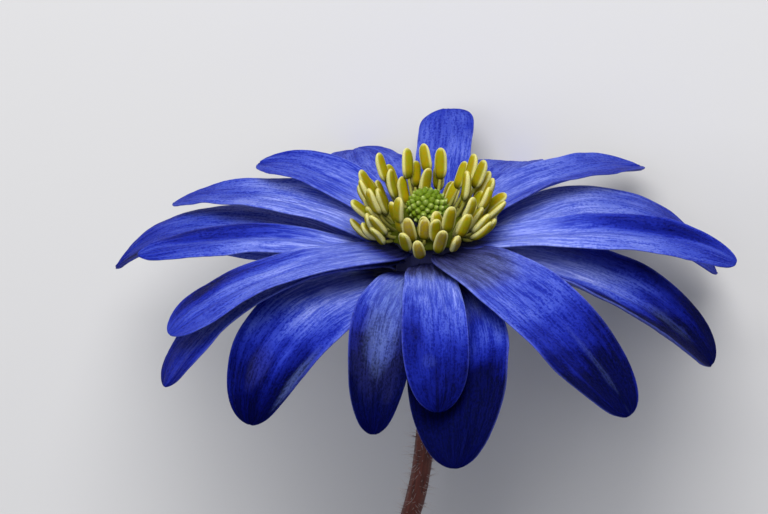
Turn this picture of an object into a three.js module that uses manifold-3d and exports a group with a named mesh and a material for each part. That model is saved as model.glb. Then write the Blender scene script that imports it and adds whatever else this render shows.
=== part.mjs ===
// A blue windflower (anemone) in full bloom, cut with its stem and laid down on a table.
//
// Millimetres. The flower is drawn in its own frame: the origin is in the middle of the ring of
// tepals, +Z runs up the stem to the face of the bloom, and +Y points to its back. The last lines
// lay it down on the tips of two back tepals and the cut end of the stem, with +Z up again.
import * as THREE from "three";
import { mergeVertices } from "three/addons/utils/BufferGeometryUtils.js";
import Module from "manifold-3d";

// ---------------------------------------------------------------- driving dimensions

const TEPAL_THICKNESS = 0.62;
const CLAW_RADIUS = 2.7; // from the flower's axis to the foot of every tepal
const CLAW_SHARE = 0.24; // width of a foot as a share of the tepal's full width
const CLAW_SWELL = 0.52; // the smaller, the faster a foot widens
const TIP_ROUNDNESS = 2.2; // exponent of the outline from the widest place to the tip
const TIP_SHARE = 0.995; // the outline stops here, so the tip is a short blunt edge
const TEPAL_ROWS = 12; // of faces along a tepal
const TEPAL_COLUMNS = 4; // of faces across it
const STRIDES_PER_ROW = 8; // of the midrib's sum, between two rows

// The tepals, counted anticlockwise from the right-hand side of the bloom seen from the front.
// direction: bearing of the foot. sweep: how far the bearing turns towards the tip.
// root: height of the foot. rise: slope there. droop: slope lost towards the tip, which sets in
// late if onset is high. roll: twist about the midrib. cup: half the angle of the channelled
// section, in radians. widest: place of the full width along the length. tip: the roundness of a
// tip unlike the others. Other angles are in degrees.
const TEPALS = [
  { direction: 349, sweep: 12, length: 20.6, width: 4.4, widest: 0.65, root: 0.3, rise: 13,
    droop: 43, onset: 1.8, roll: 14, cup: 0.2 },
  { direction: 29, sweep: -14.5, length: 24.7, width: 7.2, widest: 0.47, root: -2.0, rise: 25,
    droop: 87, onset: 1.3, roll: 17, cup: -0.2, tip: 1.8 },
  { direction: 42, sweep: -4, length: 19.5, width: 4.2, widest: 0.75, root: 0.2, rise: 23,
    droop: 42, onset: 0.8, roll: 0, cup: 0.3 },
  { direction: 61, sweep: 14, length: 17.5, width: 5.0, widest: 0.7, root: -0.7, rise: 14,
    droop: 46, onset: 1.8, roll: -6, cup: 0.1 },
  { direction: 82, sweep: 6, length: 15.6, width: 4.2, widest: 0.8, root: 0.4, rise: 11,
    droop: 1, onset: 1.0, roll: -10, cup: 0, tip: 4 },
  { direction: 110, sweep: -12, length: 18.5, width: 5.6, widest: 0.65, root: -0.7, rise: 11,
    droop: 29, onset: 1.3, roll: -2, cup: 0.2 },
  { direction: 133, sweep: 11, length: 14.8, width: 4.6, widest: 0.6, root: 0.4, rise: 22,
    droop: 38, onset: 1.1, roll: -6, cup: 0.3 },
  { direction: 148.5, sweep: -2.5, length: 21.0, width: 4.6, widest: 0.5, root: -0.6, rise: 24.2,
    droop: 52, onset: 0.8, roll: -7, cup: 0.15 },
  { direction: 152, sweep: 14, length: 24.7, width: 8.2, widest: 0.46, root: -3.1, rise: 11.3,
    droop: 67.5, onset: 2.4, roll: -7, cup: -0.1, tip: 1.4 },
  { direction: 173, sweep: 19, length: 19.0, width: 4.2, widest: 0.6, root: -1.6, rise: 22,
    droop: 35, onset: 0.8, roll: -7, cup: 0 },
  { direction: 218, sweep: -12, length: 20.0, width: 5.6, widest: 0.75, root: 0.2, rise: 12,
    droop: 49, onset: 1.8, roll: 7, cup: 0.1, tip: 3 },
  { direction: 209, sweep: 13, length: 22.0, width: 4.0, widest: 0.8, root: -0.6, rise: 10,
    droop: 68, onset: 1.9, roll: 13, cup: 0 },
  { direction: 224, sweep: 8.5, length: 19.6, width: 6.7, widest: 0.5, root: -2.0, rise: 11,
    droop: 100, onset: 2.1, roll: -15, cup: 0, tip: 2 },
  { direction: 253, sweep: 13, length: 18.8, width: 4.6, widest: 0.55, root: -1.3, rise: 14,
    droop: 88, onset: 1.8, roll: -14, cup: 0.2 },
  { direction: 272, sweep: -1, length: 17.6, width: 4.6, widest: 0.7, root: -0.5, rise: 13,
    droop: 69, onset: 1.6, roll: -12, cup: 0 },
  { direction: 284, sweep: -23, length: 20.0, width: 7.2, widest: 0.6, root: -2.1, rise: 12,
    droop: 65, onset: 1.2, roll: 17, cup: 0.2 },
  { direction: 303.4, sweep: 4, length: 22.4, width: 5.9, widest: 0.45, root: 0.1, rise: 13,
    droop: 48, onset: 1.0, roll: 16, cup: 0.3 },
  { direction: 346.3, sweep: -6, length: 20.7, width: 6.7, widest: 0.6, root: -0.9, rise: 10,
    droop: 56, onset: 1.0, roll: 6, cup: 0.6 },
];

// The stem's middle line from the cut end up to the top of the receptacle: x, y, z.
const STEM_LINE = [
  [-4.6, 0.6, -62],
  [-5.3, 0.9, -50],
  [-4.4, 0.7, -38],
  [-2.2, 0.3, -27],
  [-0.5, 0, -20],
  [0.1, 0, -14],
  [0, 0, -7],
  [0, 0, 2],
];
const STEM_SIDES = 12;
const STEM_STEPS = 18; // rings between the cut end and the swelling under the bloom
const STEM_RADIUS = { cut: 0.85, neck: 0.7 };
const NECK_HEIGHT = -7;

// The receptacle: height above the tepals' ring and radius, from the neck to its flat top.
const RECEPTACLE = [
  [-5.4, 0.95],
  [-4.4, 1.55],
  [-3.8, 2.2],
  [-3.3, 2.35],
  [0.25, 2.35],
  [0.6, 1.9],
  [0.8, 1.15],
  [2.0, 1.05],
];

// The collar that the filaments grow from: radius and height of its section.
const COLLAR = [
  [1.5, 1.2],
  [2.9, 0.95],
  [3.15, 1.2],
  [2.8, 1.6],
  [1.5, 1.75],
];
const COLLAR_SEGMENTS = 16;

// The collar, the stamens and the carpels lean a little towards the front of the bloom.
const CROWN_TILT = 6;
const CROWN_PIVOT_HEIGHT = 1.3;
const LOWEST_REST = -0.55; // tepals with lower feet are not felt by the anthers
const ANTHER_CLEARANCE = 0.2; // from the lowest anthers down to the tepals that they lie over

// Rows of stamens from the outside in, with the last one in between. foot: radius and height where
// a filament leaves the collar. radius, height: where it meets its anther. lean: of the anther, from
// the axis. Each of these three holds for the sides and the back first, and then for the front. The
// outermost row has no height of its own, because its anthers lie on the feet of the tepals.
// turn: of the row. bare: middle and half width of the bearings that it leaves free.
const STAMEN_ROWS = [
  { count: 17, foot: [2.8, 1.25], radius: [3.95, 3.4], lean: [44, 22], turn: 5, bare: [] },
  { count: 17, foot: [2.7, 1.35], radius: [4.25, 2.9], height: [2.15, 1.65], lean: [40, 8],
    turn: 12, bare: [] },
  { count: 16, foot: [2.4, 1.45], radius: [4.05, 3.1], height: [3.3, 2.8], lean: [25, 2],
    turn: 4, bare: [[60, 5], [270, 20]] },
  { count: 9, foot: [2.1, 1.45], radius: [3.0, 2.4], height: [2.6, 2.2], lean: [13, 4],
    turn: 17, bare: [[60, 5], [270, 32]] },
  { count: 13, foot: [2.3, 1.4], radius: [3.4, 2.45], height: [1.4, 2.0], lean: [32, 10],
    turn: 8, bare: [] },
];
const FILAMENT_RADIUS = 0.3;
const FILAMENT_SIDES = 5;
const FILAMENT_REACH = 0.125; // how far it runs into its anther, as a share of the anther
const ANTHER_LENGTH = [1.95, 2.45]; // least and most
const ANTHER_HALF_WIDTH = 0.49;
const ANTHER_HALF_DEPTH = 0.34;
const ANTHER_SIDES = 6;
// The anther's outline: share of its length and share of its full section.
const ANTHER_OUTLINE = [
  [0, 0.55],
  [0.14, 0.95],
  [0.84, 0.9],
  [1, 0.45],
];
// The most that a stamen strays from its row: bearing and lean in degrees, height in millimetres,
// and the slope of its anther to one side.
const LOOSENESS = { bearing: 8, lean: 6, height: 0.28, aside: 0.2 };

// The head of carpels: radius and height of the cushion that they stand on.
const CUSHION = [
  [0, 2.35],
  [1.1, 2.35],
  [1.3, 2.65],
  [1.34, 2.95],
  [1.22, 3.4],
  [0.92, 3.85],
  [0.5, 4.1],
  [0, 4.18],
];
const CUSHION_SEGMENTS = 12;
const CARPEL_COUNT = 44;
const CARPEL_LOWEST = -0.25; // cosine of the angle from the axis to the lowest carpel
const CARPEL_RING = { radius: 1.26, height: 1.2, middle: 2.92 }; // the round surface that they stand on
// A carpel: radius and height above that surface.
const CARPEL_SECTION = [
  [0, -0.25],
  [0.29, 0],
  [0.2, 0.25],
  [0, 0.36],
];
const CARPEL_SEGMENTS = 5;
const GOLDEN_ANGLE = 137.508; // between two carpels of the spiral

// How the cut flower lies: turn about its own axis, slope of the stem and place of the origin.
// These three values bring the tips of tepals 4 and 6 and the rim of the cut end to height 0.
const OWN_TURN = 9.94;
const STEM_SLOPE = 16.91;
const FLOWER_PLACE = [1.2, 25.6, 18.647];

// ---------------------------------------------------------------- colours

const COLOURS = {
  tepal: "#4a5cc9",
  tepalShaded: "#2d38a4",
  stem: "#4a1f1d",
  stamen: "#c2ad2a",
  carpel: "#6d8420",
};

const SHADED_ROOT = -1; // tepals with lower feet lie in the shade of the others

// ---------------------------------------------------------------- helpers

const SHORTEST_EDGE = 0.01; // shorter edges, left where bodies are joined, are closed up
const wasm = await Module();
wasm.setup();
const radians = THREE.MathUtils.degToRad;

/** A repeatable random share from 0 to 1 for the given pair of whole numbers. */
function draw(first, second) {
  const value = Math.sin(first * 12.9898 + second * 78.233 + 5.3) * 43758.5453;
  return value - Math.floor(value);
}

/** A point at a bearing in degrees, a radius and a height round the flower's axis. */
function around(bearing, radius, height) {
  const angle = radians(bearing);
  return new THREE.Vector3(radius * Math.cos(angle), radius * Math.sin(angle), height);
}

/** A geometry from a list of points and a list of triangles that index them. */
function facets(points, triangles) {
  const geometry = new THREE.BufferGeometry();
  geometry.setAttribute(
    "position",
    new THREE.Float32BufferAttribute(points.flatMap((point) => point.toArray()), 3),
  );
  geometry.setIndex(triangles.flat());
  return geometry;
}

/** The solid of a closed geometry. */
function solid(geometry) {
  const bare = geometry.clone();
  bare.deleteAttribute("normal");
  bare.deleteAttribute("uv");
  const merged = mergeVertices(bare, 1e-4);
  return new wasm.Manifold(
    new wasm.Mesh({
      numProp: 3,
      vertProperties: merged.getAttribute("position").array,
      triVerts: new Uint32Array(merged.getIndex().array),
    }),
  );
}

/** One geometry that joins closed geometries, which overlap each other. */
function fuse(geometries) {
  const whole = geometries.map(solid).reduce((sum, next) => sum.add(next));
  const mesh = whole.simplify(SHORTEST_EDGE).getMesh();
  const geometry = new THREE.BufferGeometry();
  geometry.setAttribute("position", new THREE.BufferAttribute(mesh.vertProperties, 3));
  geometry.setIndex(new THREE.BufferAttribute(mesh.triVerts, 1));
  return geometry;
}

/** A mesh of one named piece. */
function piece(name, geometry, colour) {
  const shown = geometry.index ? geometry.toNonIndexed() : geometry;
  shown.computeVertexNormals();
  const material = new THREE.MeshStandardMaterial({ color: colour, roughness: 0.7, metalness: 0 });
  const mesh = new THREE.Mesh(shown, material);
  mesh.name = name;
  return mesh;
}

/** A closed body through rings of points that all have the same number of corners. */
function loft(rings) {
  const corners = rings[0].length;
  const points = rings.flat();
  const triangles = [];
  for (let ring = 0; ring + 1 < rings.length; ring += 1) {
    for (let corner = 0; corner < corners; corner += 1) {
      const here = ring * corners + corner;
      const beside = ring * corners + ((corner + 1) % corners);
      triangles.push([here, beside, beside + corners]);
      triangles.push([here, beside + corners, here + corners]);
    }
  }
  const centre = (ring) =>
    ring.reduce((sum, point) => sum.add(point), new THREE.Vector3()).divideScalar(corners);
  const first = points.length;
  points.push(centre(rings[0]), centre(rings.at(-1)));
  const last = (rings.length - 1) * corners;
  for (let corner = 0; corner < corners; corner += 1) {
    const beside = (corner + 1) % corners;
    triangles.push([first, beside, corner]);
    triangles.push([first + 1, last + corner, last + beside]);
  }
  return facets(points, triangles);
}

/** A ring of points round a centre, in the plane of two directions. */
function ring(centre, across, along, halfWidth, halfDepth, corners) {
  return Array.from({ length: corners }, (_, corner) => {
    const angle = (2 * Math.PI * corner) / corners;
    return centre
      .clone()
      .addScaledVector(across, halfWidth * Math.cos(angle))
      .addScaledVector(along, halfDepth * Math.sin(angle));
  });
}

// ---------------------------------------------------------------- tepals

/** Half the width of a tepal at a share of its length. */
function halfWidth(tepal, along) {
  if (along < tepal.widest) {
    const swell = Math.sin((Math.PI / 2) * (along / tepal.widest)) ** CLAW_SWELL;
    return (tepal.width / 2) * (CLAW_SHARE + (1 - CLAW_SHARE) * swell);
  }
  const past = (along - tepal.widest) / (1 - tepal.widest);
  return (tepal.width / 2) * Math.sqrt(1 - past ** (tepal.tip ?? TIP_ROUNDNESS));
}

/** The directions forward, to the side and up from the face of a tepal, at a share of its length. */
function directions(tepal, along) {
  const pitch = radians(tepal.rise - tepal.droop * along ** tepal.onset);
  const bearing = radians(tepal.direction + tepal.sweep * along);
  const forward = new THREE.Vector3(
    Math.cos(pitch) * Math.cos(bearing),
    Math.cos(pitch) * Math.sin(bearing),
    Math.sin(pitch),
  );
  const twist = radians(tepal.roll) * Math.sin((Math.PI / 2) * along);
  const side = new THREE.Vector3(-Math.sin(bearing), Math.cos(bearing), 0);
  side.applyAxisAngle(forward, twist);
  const up = forward.clone().cross(side);
  return { forward, side, up };
}

/** The rows of points of the upper and the lower face of a tepal, from the foot to the tip. */
function tepalFaces(tepal) {
  const middle = around(tepal.direction, CLAW_RADIUS, tepal.root);
  const cup = tepal.cup || 1e-3;
  const upper = [];
  const lower = [];
  let along = 0;
  for (let row = 0; row <= TEPAL_ROWS; row += 1) {
    const target = TIP_SHARE * Math.sin((Math.PI / 2) * (row / TEPAL_ROWS));
    const stride = (target - along) / STRIDES_PER_ROW;
    for (let step = 0; step < STRIDES_PER_ROW; step += 1) {
      const { forward } = directions(tepal, along + (step + 0.5) * stride);
      middle.addScaledVector(forward, stride * tepal.length);
    }
    along = target;
    const { side, up } = directions(tepal, along);
    const half = halfWidth(tepal, along);
    for (let column = 0; column <= TEPAL_COLUMNS; column += 1) {
      const turn = cup * ((2 * column) / TEPAL_COLUMNS - 1);
      const face = middle
        .clone()
        .addScaledVector(side, (half * Math.sin(turn)) / cup)
        .addScaledVector(up, (half * (1 - Math.cos(turn))) / cup);
      const back = face
        .clone()
        .addScaledVector(up, -TEPAL_THICKNESS * Math.cos(turn))
        .addScaledVector(side, TEPAL_THICKNESS * Math.sin(turn));
      upper.push(face);
      lower.push(back);
    }
  }
  return { upper, lower };
}

/** The closed body of a tepal, with both faces split into triangles alike. */
function tepalBody(tepal) {
  const { upper, lower } = tepalFaces(tepal);
  const width = TEPAL_COLUMNS + 1;
  const under = upper.length;
  const triangles = [];
  for (let row = 0; row < TEPAL_ROWS; row += 1) {
    for (let column = 0; column < TEPAL_COLUMNS; column += 1) {
      const a = row * width + column;
      const [b, c, d] = [a + width, a + width + 1, a + 1];
      triangles.push([a, b, c], [a, c, d]);
      triangles.push([under + c, under + b, under + a], [under + d, under + c, under + a]);
    }
  }
  const rim = [];
  for (let row = 0; row < TEPAL_ROWS; row += 1) rim.push(row * width);
  for (let column = 0; column < TEPAL_COLUMNS; column += 1) rim.push(TEPAL_ROWS * width + column);
  for (let row = TEPAL_ROWS; row > 0; row -= 1) rim.push(row * width + TEPAL_COLUMNS);
  for (let column = TEPAL_COLUMNS; column > 0; column -= 1) rim.push(column);
  rim.forEach((here, index) => {
    const next = rim[(index + 1) % rim.length];
    triangles.push([here, under + here, under + next], [here, under + next, next]);
  });
  return facets([...upper, ...lower], triangles);
}

// ---------------------------------------------------------------- stem and receptacle

/** The stem with the receptacle that the tepals, the collar and the carpels sit round. */
function stemBody() {
  const line = new THREE.CatmullRomCurve3(STEM_LINE.map((point) => new THREE.Vector3(...point)));
  const lowest = STEM_LINE[0][2];
  const lineAt = (height) => {
    let [low, high] = [0, 1];
    for (let halving = 0; halving < 30; halving += 1) {
      const middle = (low + high) / 2;
      if (line.getPoint(middle).z < height) low = middle;
      else high = middle;
    }
    return low;
  };
  const sections = [];
  for (let step = 0; step <= STEM_STEPS; step += 1) {
    const share = step / STEM_STEPS;
    const radius = THREE.MathUtils.lerp(STEM_RADIUS.cut, STEM_RADIUS.neck, share);
    sections.push([THREE.MathUtils.lerp(lowest, NECK_HEIGHT, share), radius]);
  }
  sections.push(...RECEPTACLE);
  const sideways = new THREE.Vector3(1, 0, 0);
  const rings = sections.map(([height, radius]) => {
    const place = lineAt(height);
    const tangent = line.getTangent(place);
    const across = sideways.clone().addScaledVector(tangent, -sideways.dot(tangent)).normalize();
    const along = tangent.clone().cross(across);
    const centre = line.getPoint(place);
    return ring(centre, across, along, radius, radius, STEM_SIDES);
  });
  return loft(rings);
}

// ---------------------------------------------------------------- stamens

/** One anther, with its wide faces turned inwards and outwards. */
function anther(joint, direction, across, length) {
  const thick = across.clone().cross(direction);
  const rings = ANTHER_OUTLINE.map(([share, swell]) => {
    const centre = joint.clone().addScaledVector(direction, length * share);
    const [halfDepth, halfWide] = [ANTHER_HALF_DEPTH * swell, ANTHER_HALF_WIDTH * swell];
    return ring(centre, thick, across, halfDepth, halfWide, ANTHER_SIDES);
  });
  return loft(rings);
}

/** One filament, from inside the collar to inside the foot of its anther. */
function filament(foot, joint, across) {
  const thick = across.clone().cross(joint.clone().sub(foot)).normalize();
  const rings = [foot, joint].map((point) =>
    ring(point, thick, across, FILAMENT_RADIUS, FILAMENT_RADIUS, FILAMENT_SIDES),
  );
  return loft(rings);
}

/** A body of the crown, leant forwards with it. */
function leanForwards(geometry) {
  geometry.translate(0, 0, -CROWN_PIVOT_HEIGHT);
  geometry.rotateX(radians(CROWN_TILT));
  return geometry.translate(0, 0, CROWN_PIVOT_HEIGHT);
}

/** The height at which an anther lies on the feet of the tepals, before the crown leans. */
function restingHeight(bearing, radius) {
  const tops = TEPALS.map((tepal) => {
    const turned = radians(bearing - tepal.direction);
    const past = radius - CLAW_RADIUS;
    const reach = halfWidth(tepal, past / tepal.length) + ANTHER_HALF_WIDTH;
    const beside = Math.cos(turned) < 0 || Math.abs(radius * Math.sin(turned)) > reach;
    return beside ? LOWEST_REST : tepal.root + past * Math.tan(radians(tepal.rise));
  });
  const height = Math.max(...tops) + ANTHER_HALF_DEPTH + ANTHER_CLEARANCE;
  const forwards = around(bearing, radius, 0).y * Math.sin(radians(CROWN_TILT));
  return height - forwards;
}

/** The filament and the anther of one stamen of a row, strayed as its seed says. */
function stamen(row, bearing, seed) {
  const loose = (slot) => draw(seed, slot) * 2 - 1;
  const front = Math.max(0, -Math.sin(radians(bearing))) ** 2;
  const here = ([behind, before]) => THREE.MathUtils.lerp(behind, before, front);
  const radius = here(row.radius);
  const height = row.height
    ? here(row.height) + LOOSENESS.height * loose(2)
    : restingHeight(bearing, radius);
  const lean = radians(here(row.lean) + LOOSENESS.lean * loose(3));
  const length = THREE.MathUtils.lerp(...ANTHER_LENGTH, draw(seed, 4));
  const joint = around(bearing, radius, height);
  const across = around(bearing + 90, 1, 0);
  const direction = around(bearing, Math.sin(lean), Math.cos(lean))
    .addScaledVector(across, LOOSENESS.aside * loose(5))
    .normalize();
  across.addScaledVector(direction, -across.dot(direction)).normalize();
  const inAnther = joint.clone().addScaledVector(direction, length * FILAMENT_REACH);
  const foot = around(bearing, ...row.foot);
  return [filament(foot, inAnther, across), anther(joint, direction, across, length)];
}

/** The rows of stamens with the collar that holds them. */
function stamensBody() {
  const outline = COLLAR.map(([radius, height]) => new THREE.Vector2(radius, height));
  const collar = new THREE.LatheGeometry([...outline, outline[0]], COLLAR_SEGMENTS);
  collar.rotateX(Math.PI / 2);
  const bodies = [collar];
  STAMEN_ROWS.forEach((row, level) => {
    for (let index = 0; index < row.count; index += 1) {
      const seed = index + 31 * level;
      const turned = LOOSENESS.bearing * (draw(seed, 1) * 2 - 1);
      const bearing = row.turn + (360 * index) / row.count + turned;
      const away = (middle) => Math.abs(((bearing - middle + 540) % 360) - 180);
      const isBare = row.bare.some(([middle, halfWidth]) => away(middle) <= halfWidth);
      if (!isBare) bodies.push(...stamen(row, bearing, seed));
    }
  });
  return leanForwards(fuse(bodies));
}

// ---------------------------------------------------------------- carpels

/** The dome of carpels, set on their cushion in a spiral. */
function carpelHeadBody() {
  const outline = CUSHION.map(([radius, height]) => new THREE.Vector2(radius, height));
  const cushion = new THREE.LatheGeometry(outline, CUSHION_SEGMENTS);
  cushion.rotateX(Math.PI / 2);
  const section = CARPEL_SECTION.map(([radius, height]) => new THREE.Vector2(radius, height));
  const bodies = [cushion];
  for (let index = 0; index < CARPEL_COUNT; index += 1) {
    const cosine = 1 - ((1 - CARPEL_LOWEST) * (index + 0.5)) / CARPEL_COUNT;
    const sine = Math.sqrt(1 - cosine * cosine);
    const outward = around(index * GOLDEN_ANGLE, sine, cosine);
    const carpel = new THREE.LatheGeometry(section, CARPEL_SEGMENTS);
    carpel.applyQuaternion(
      new THREE.Quaternion().setFromUnitVectors(new THREE.Vector3(0, 1, 0), outward),
    );
    const { radius, height, middle } = CARPEL_RING;
    carpel.translate(radius * outward.x, radius * outward.y, middle + height * outward.z);
    bodies.push(carpel);
  }
  return leanForwards(fuse(bodies));
}

// ---------------------------------------------------------------- the laid flower

const flower = new THREE.Group();
flower.add(piece("stem", stemBody(), COLOURS.stem));
TEPALS.forEach((tepal, index) => {
  const name = `tepal_${String(index + 1).padStart(2, "0")}`;
  const colour = tepal.root < SHADED_ROOT ? COLOURS.tepalShaded : COLOURS.tepal;
  flower.add(piece(name, tepalBody(tepal), colour));
});
flower.add(piece("stamens", stamensBody(), COLOURS.stamen));
flower.add(piece("carpel_head", carpelHeadBody(), COLOURS.carpel));
flower.rotation.z = radians(OWN_TURN);

const laid = new THREE.Group();
laid.add(flower);
laid.rotation.x = radians(STEM_SLOPE - 90);
laid.position.set(...FLOWER_PLACE);

const anemone = new THREE.Group();
anemone.add(laid);
export default anemone;
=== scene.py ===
"""The finished look of a cut blue windflower lying on a table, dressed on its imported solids.

Sizes are in millimetres in the flower's own frame: the origin is in the middle of the ring of
tepals, +Z runs up the stem to the face of the bloom, and +Y points to its back. LaidPose turns
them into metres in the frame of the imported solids. Along a tepal, "along" runs from 0 at the foot
to 1 at the tip, and "across" from -1 at the right-hand rim to 1 at the left-hand rim, looking
from the foot to the tip.
"""

import logging
import math
from dataclasses import dataclass, field
from enum import Enum

import bpy
import numpy as np
from mathutils import Matrix, Vector
from numpy.typing import NDArray


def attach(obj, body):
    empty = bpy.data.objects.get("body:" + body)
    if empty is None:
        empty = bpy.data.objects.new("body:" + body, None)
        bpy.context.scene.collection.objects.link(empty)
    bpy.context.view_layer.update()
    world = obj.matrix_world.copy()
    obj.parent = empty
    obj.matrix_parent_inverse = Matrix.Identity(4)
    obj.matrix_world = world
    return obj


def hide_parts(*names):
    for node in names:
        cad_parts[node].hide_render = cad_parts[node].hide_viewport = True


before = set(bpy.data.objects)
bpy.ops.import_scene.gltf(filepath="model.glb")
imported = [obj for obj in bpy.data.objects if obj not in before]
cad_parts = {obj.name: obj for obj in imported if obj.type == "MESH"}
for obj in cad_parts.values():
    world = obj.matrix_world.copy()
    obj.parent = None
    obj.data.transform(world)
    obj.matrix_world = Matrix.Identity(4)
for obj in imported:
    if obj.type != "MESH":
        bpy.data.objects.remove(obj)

Array = NDArray[np.float64]
Colour = tuple[float, float, float]

METRES = 0.001  # in a millimetre
TONE = "tone"  # point attribute: four shares that a finish blends its colours by
SIDE = "underside"  # point attribute: 0 on the upper face of a tepal and 1 on the lower face
RUN = "run"  # UV map: millimetres across and along a piece
SCATTER = 43758.5453  # so large that the fraction of a sine times it looks random
GLOW_REACH = 0.3  # millimetres that light spreads inside the flower's flesh
MIDRIB_STEPS = 800  # in the sum along a midrib
FLAT_CUP = 0.001  # stands for a cup of 0, which the section's formula would divide by

# Every tepal's foot: radius where it starts, and width there as a share of the full width. The
# smaller the swell, the faster the foot widens.
CLAW_RADIUS = 2.7
CLAW_SHARE = 0.24
CLAW_SWELL = 0.52

log = logging.getLogger("windflower")


# ---------------------------------------------------------------- numbers


def draw(first: Array, second: int) -> Array:
    """A repeatable random share: the fraction of SCATTER * sin(12.9898 first + 78.233 second + 5.3)."""
    value = np.sin(first * 12.9898 + second * 78.233 + 5.3) * SCATTER
    return value - np.floor(value)


def smoothstep(low: float, high: float, value: Array) -> Array:
    """0 below low, 1 above high and 3t² - 2t³ in between, where t is the share of the way."""
    share = np.clip((value - low) / (high - low), 0.0, 1.0)
    return share * share * (3.0 - 2.0 * share)


def window(start: float, end: float, fade: float, value: Array) -> Array:
    """1 between start and end, fading to 0 over a stretch on both sides of each."""
    return smoothstep(start - fade, start + fade, value) * (1.0 - smoothstep(end - fade, end + fade, value))


def smooth_noise(x: Array, y: Array, seed: float) -> Array:
    """Noise from -1 to 1: random values at whole numbers, blended by 3t² - 2t³ along x and along y.

    Args:
        x: Place along the first axis, in noise cells.
        y: Place along the second axis, in noise cells.
        seed: Picks one of many noises.

    Returns:
        The noise at each place.
    """
    left, low = np.floor(x), np.floor(y)
    right_share = smoothstep(0.0, 1.0, x - left)
    top_share = smoothstep(0.0, 1.0, y - low)

    def corner(step_x: int, step_y: int) -> Array:
        """The random value at one corner of each place's cell."""
        value = np.sin((left + step_x) * 127.1 + (low + step_y) * 311.7 + seed * 74.7) * SCATTER
        return 2.0 * (value - np.floor(value)) - 1.0

    bottom = corner(0, 0) * (1.0 - right_share) + corner(1, 0) * right_share
    top = corner(0, 1) * (1.0 - right_share) + corner(1, 1) * right_share
    return bottom * (1.0 - top_share) + top * top_share


def layered_noise(x: Array, y: Array, seed: float, layers: int = 3) -> Array:
    """The sum of noises, each with cells half as large and half as strong as the one before."""
    total = np.zeros(np.broadcast(x, y).shape)
    for layer in range(layers):
        total = total + smooth_noise(x * 2.0**layer, y * 2.0**layer, seed + 17.0 * layer) / 2.0**layer
    return total


def around(bearing: Array, radius: Array, height: Array) -> Array:
    """Points at a bearing in degrees, a radius and a height round the flower's axis."""
    angle = np.radians(bearing)
    return np.stack(np.broadcast_arrays(radius * np.cos(angle), radius * np.sin(angle), height), axis=-1)


def unit(vectors: Array) -> Array:
    """The vectors, each divided by its length."""
    return vectors / np.linalg.norm(vectors, axis=-1, keepdims=True)


def circle(points: int) -> Array:
    """Angles evenly round a full turn, in radians."""
    return np.linspace(0.0, 2.0 * np.pi, points, endpoint=False)


def toned(shape: tuple[int, ...], *shares: Array | float) -> Array:
    """The tone of a block of points of that shape: up to four shares, each spread over all of it."""
    tone = np.zeros((*shape, 4))
    for channel, share in enumerate(shares):
        tone[..., channel] = share
    return tone


# ---------------------------------------------------------------- meshes


@dataclass
class Skin:
    """A closed surface with what its finish reads, one row of each array for each point.

    Attributes:
        points: Places in millimetres in the flower's frame, n by 3.
        quads: Corners of the four-sided faces, m by 4.
        fans: Corners of the triangles that close the ends, k by 3.
        tone: Shares that the finish blends its colours by, n by 4.
        run: Millimetres across and along the piece, n by 2.
        side: 0 on an upper face and 1 on a lower face, n.
    """

    points: Array
    quads: NDArray[np.int64]
    fans: NDArray[np.int64]
    tone: Array
    run: Array
    side: Array

    @staticmethod
    def of_tubes(rings: Array, tone: Array, run: Array | None = None, side: Array | None = None) -> "Skin":
        """Closed tubes through rings of points, each shut by a fan of triangles at both ends.

        A ring's points run anticlockwise when the tube is seen from its last ring.

        Args:
            rings: Places, tubes by rings by points by 3.
            tone: Shares for the finish, tubes by rings by points by 4.
            run: Millimetres across and along, tubes by rings by points by 2, or None for 0 all over.
            side: 0 or 1 for the upper or the lower face, tubes by rings by points, or None for 0.

        Returns:
            The skin of all the tubes.
        """
        tubes, count, corners = rings.shape[:3]
        per_tube = count * corners
        here = np.arange(corners)
        beside = (here + 1) % corners
        ring = np.arange(count - 1)[:, None] * corners
        above = ring + corners
        quads = np.stack([ring + here, ring + beside, above + beside, above + here], axis=-1)
        first = np.arange(tubes)[:, None] * per_tube
        last = first + per_tube - corners
        hubs = tubes * per_tube + np.arange(tubes)[:, None]

        def fan(hub: Array, start: Array, end: Array) -> Array:
            """Triangles from every tube's hub to the edges of one of its rings."""
            return np.stack(np.broadcast_arrays(hub, start, end), axis=-1).reshape(-1, 3)

        def with_hubs(values: Array) -> Array:
            """The values of all points, followed by the means of the first and of the last rings."""
            flat = values.reshape(tubes * per_tube, -1)
            return np.concatenate([flat, values[:, 0].mean(axis=1), values[:, -1].mean(axis=1)])

        runs = np.zeros((*rings.shape[:3], 2)) if run is None else run
        sides = np.zeros(rings.shape[:3]) if side is None else side
        low_fans = fan(hubs, first + beside, first + here)
        high_fans = fan(hubs + tubes, last + here, last + beside)
        return Skin(
            points=with_hubs(rings),
            quads=(quads.reshape(-1, 4) + first[..., None]).reshape(-1, 4),
            fans=np.concatenate([low_fans, high_fans]),
            tone=with_hubs(tone),
            run=with_hubs(runs),
            side=with_hubs(sides[..., None])[:, 0],
        )

    @staticmethod
    def joined(skins: list["Skin"]) -> "Skin":
        """One skin that holds all the given ones."""
        starts = np.cumsum([0] + [len(skin.points) for skin in skins[:-1]])
        return Skin(
            points=np.concatenate([skin.points for skin in skins]),
            quads=np.concatenate([skin.quads + start for skin, start in zip(skins, starts)]),
            fans=np.concatenate([skin.fans + start for skin, start in zip(skins, starts)]),
            tone=np.concatenate([skin.tone for skin in skins]),
            run=np.concatenate([skin.run for skin in skins]),
            side=np.concatenate([skin.side for skin in skins]),
        )


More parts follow.
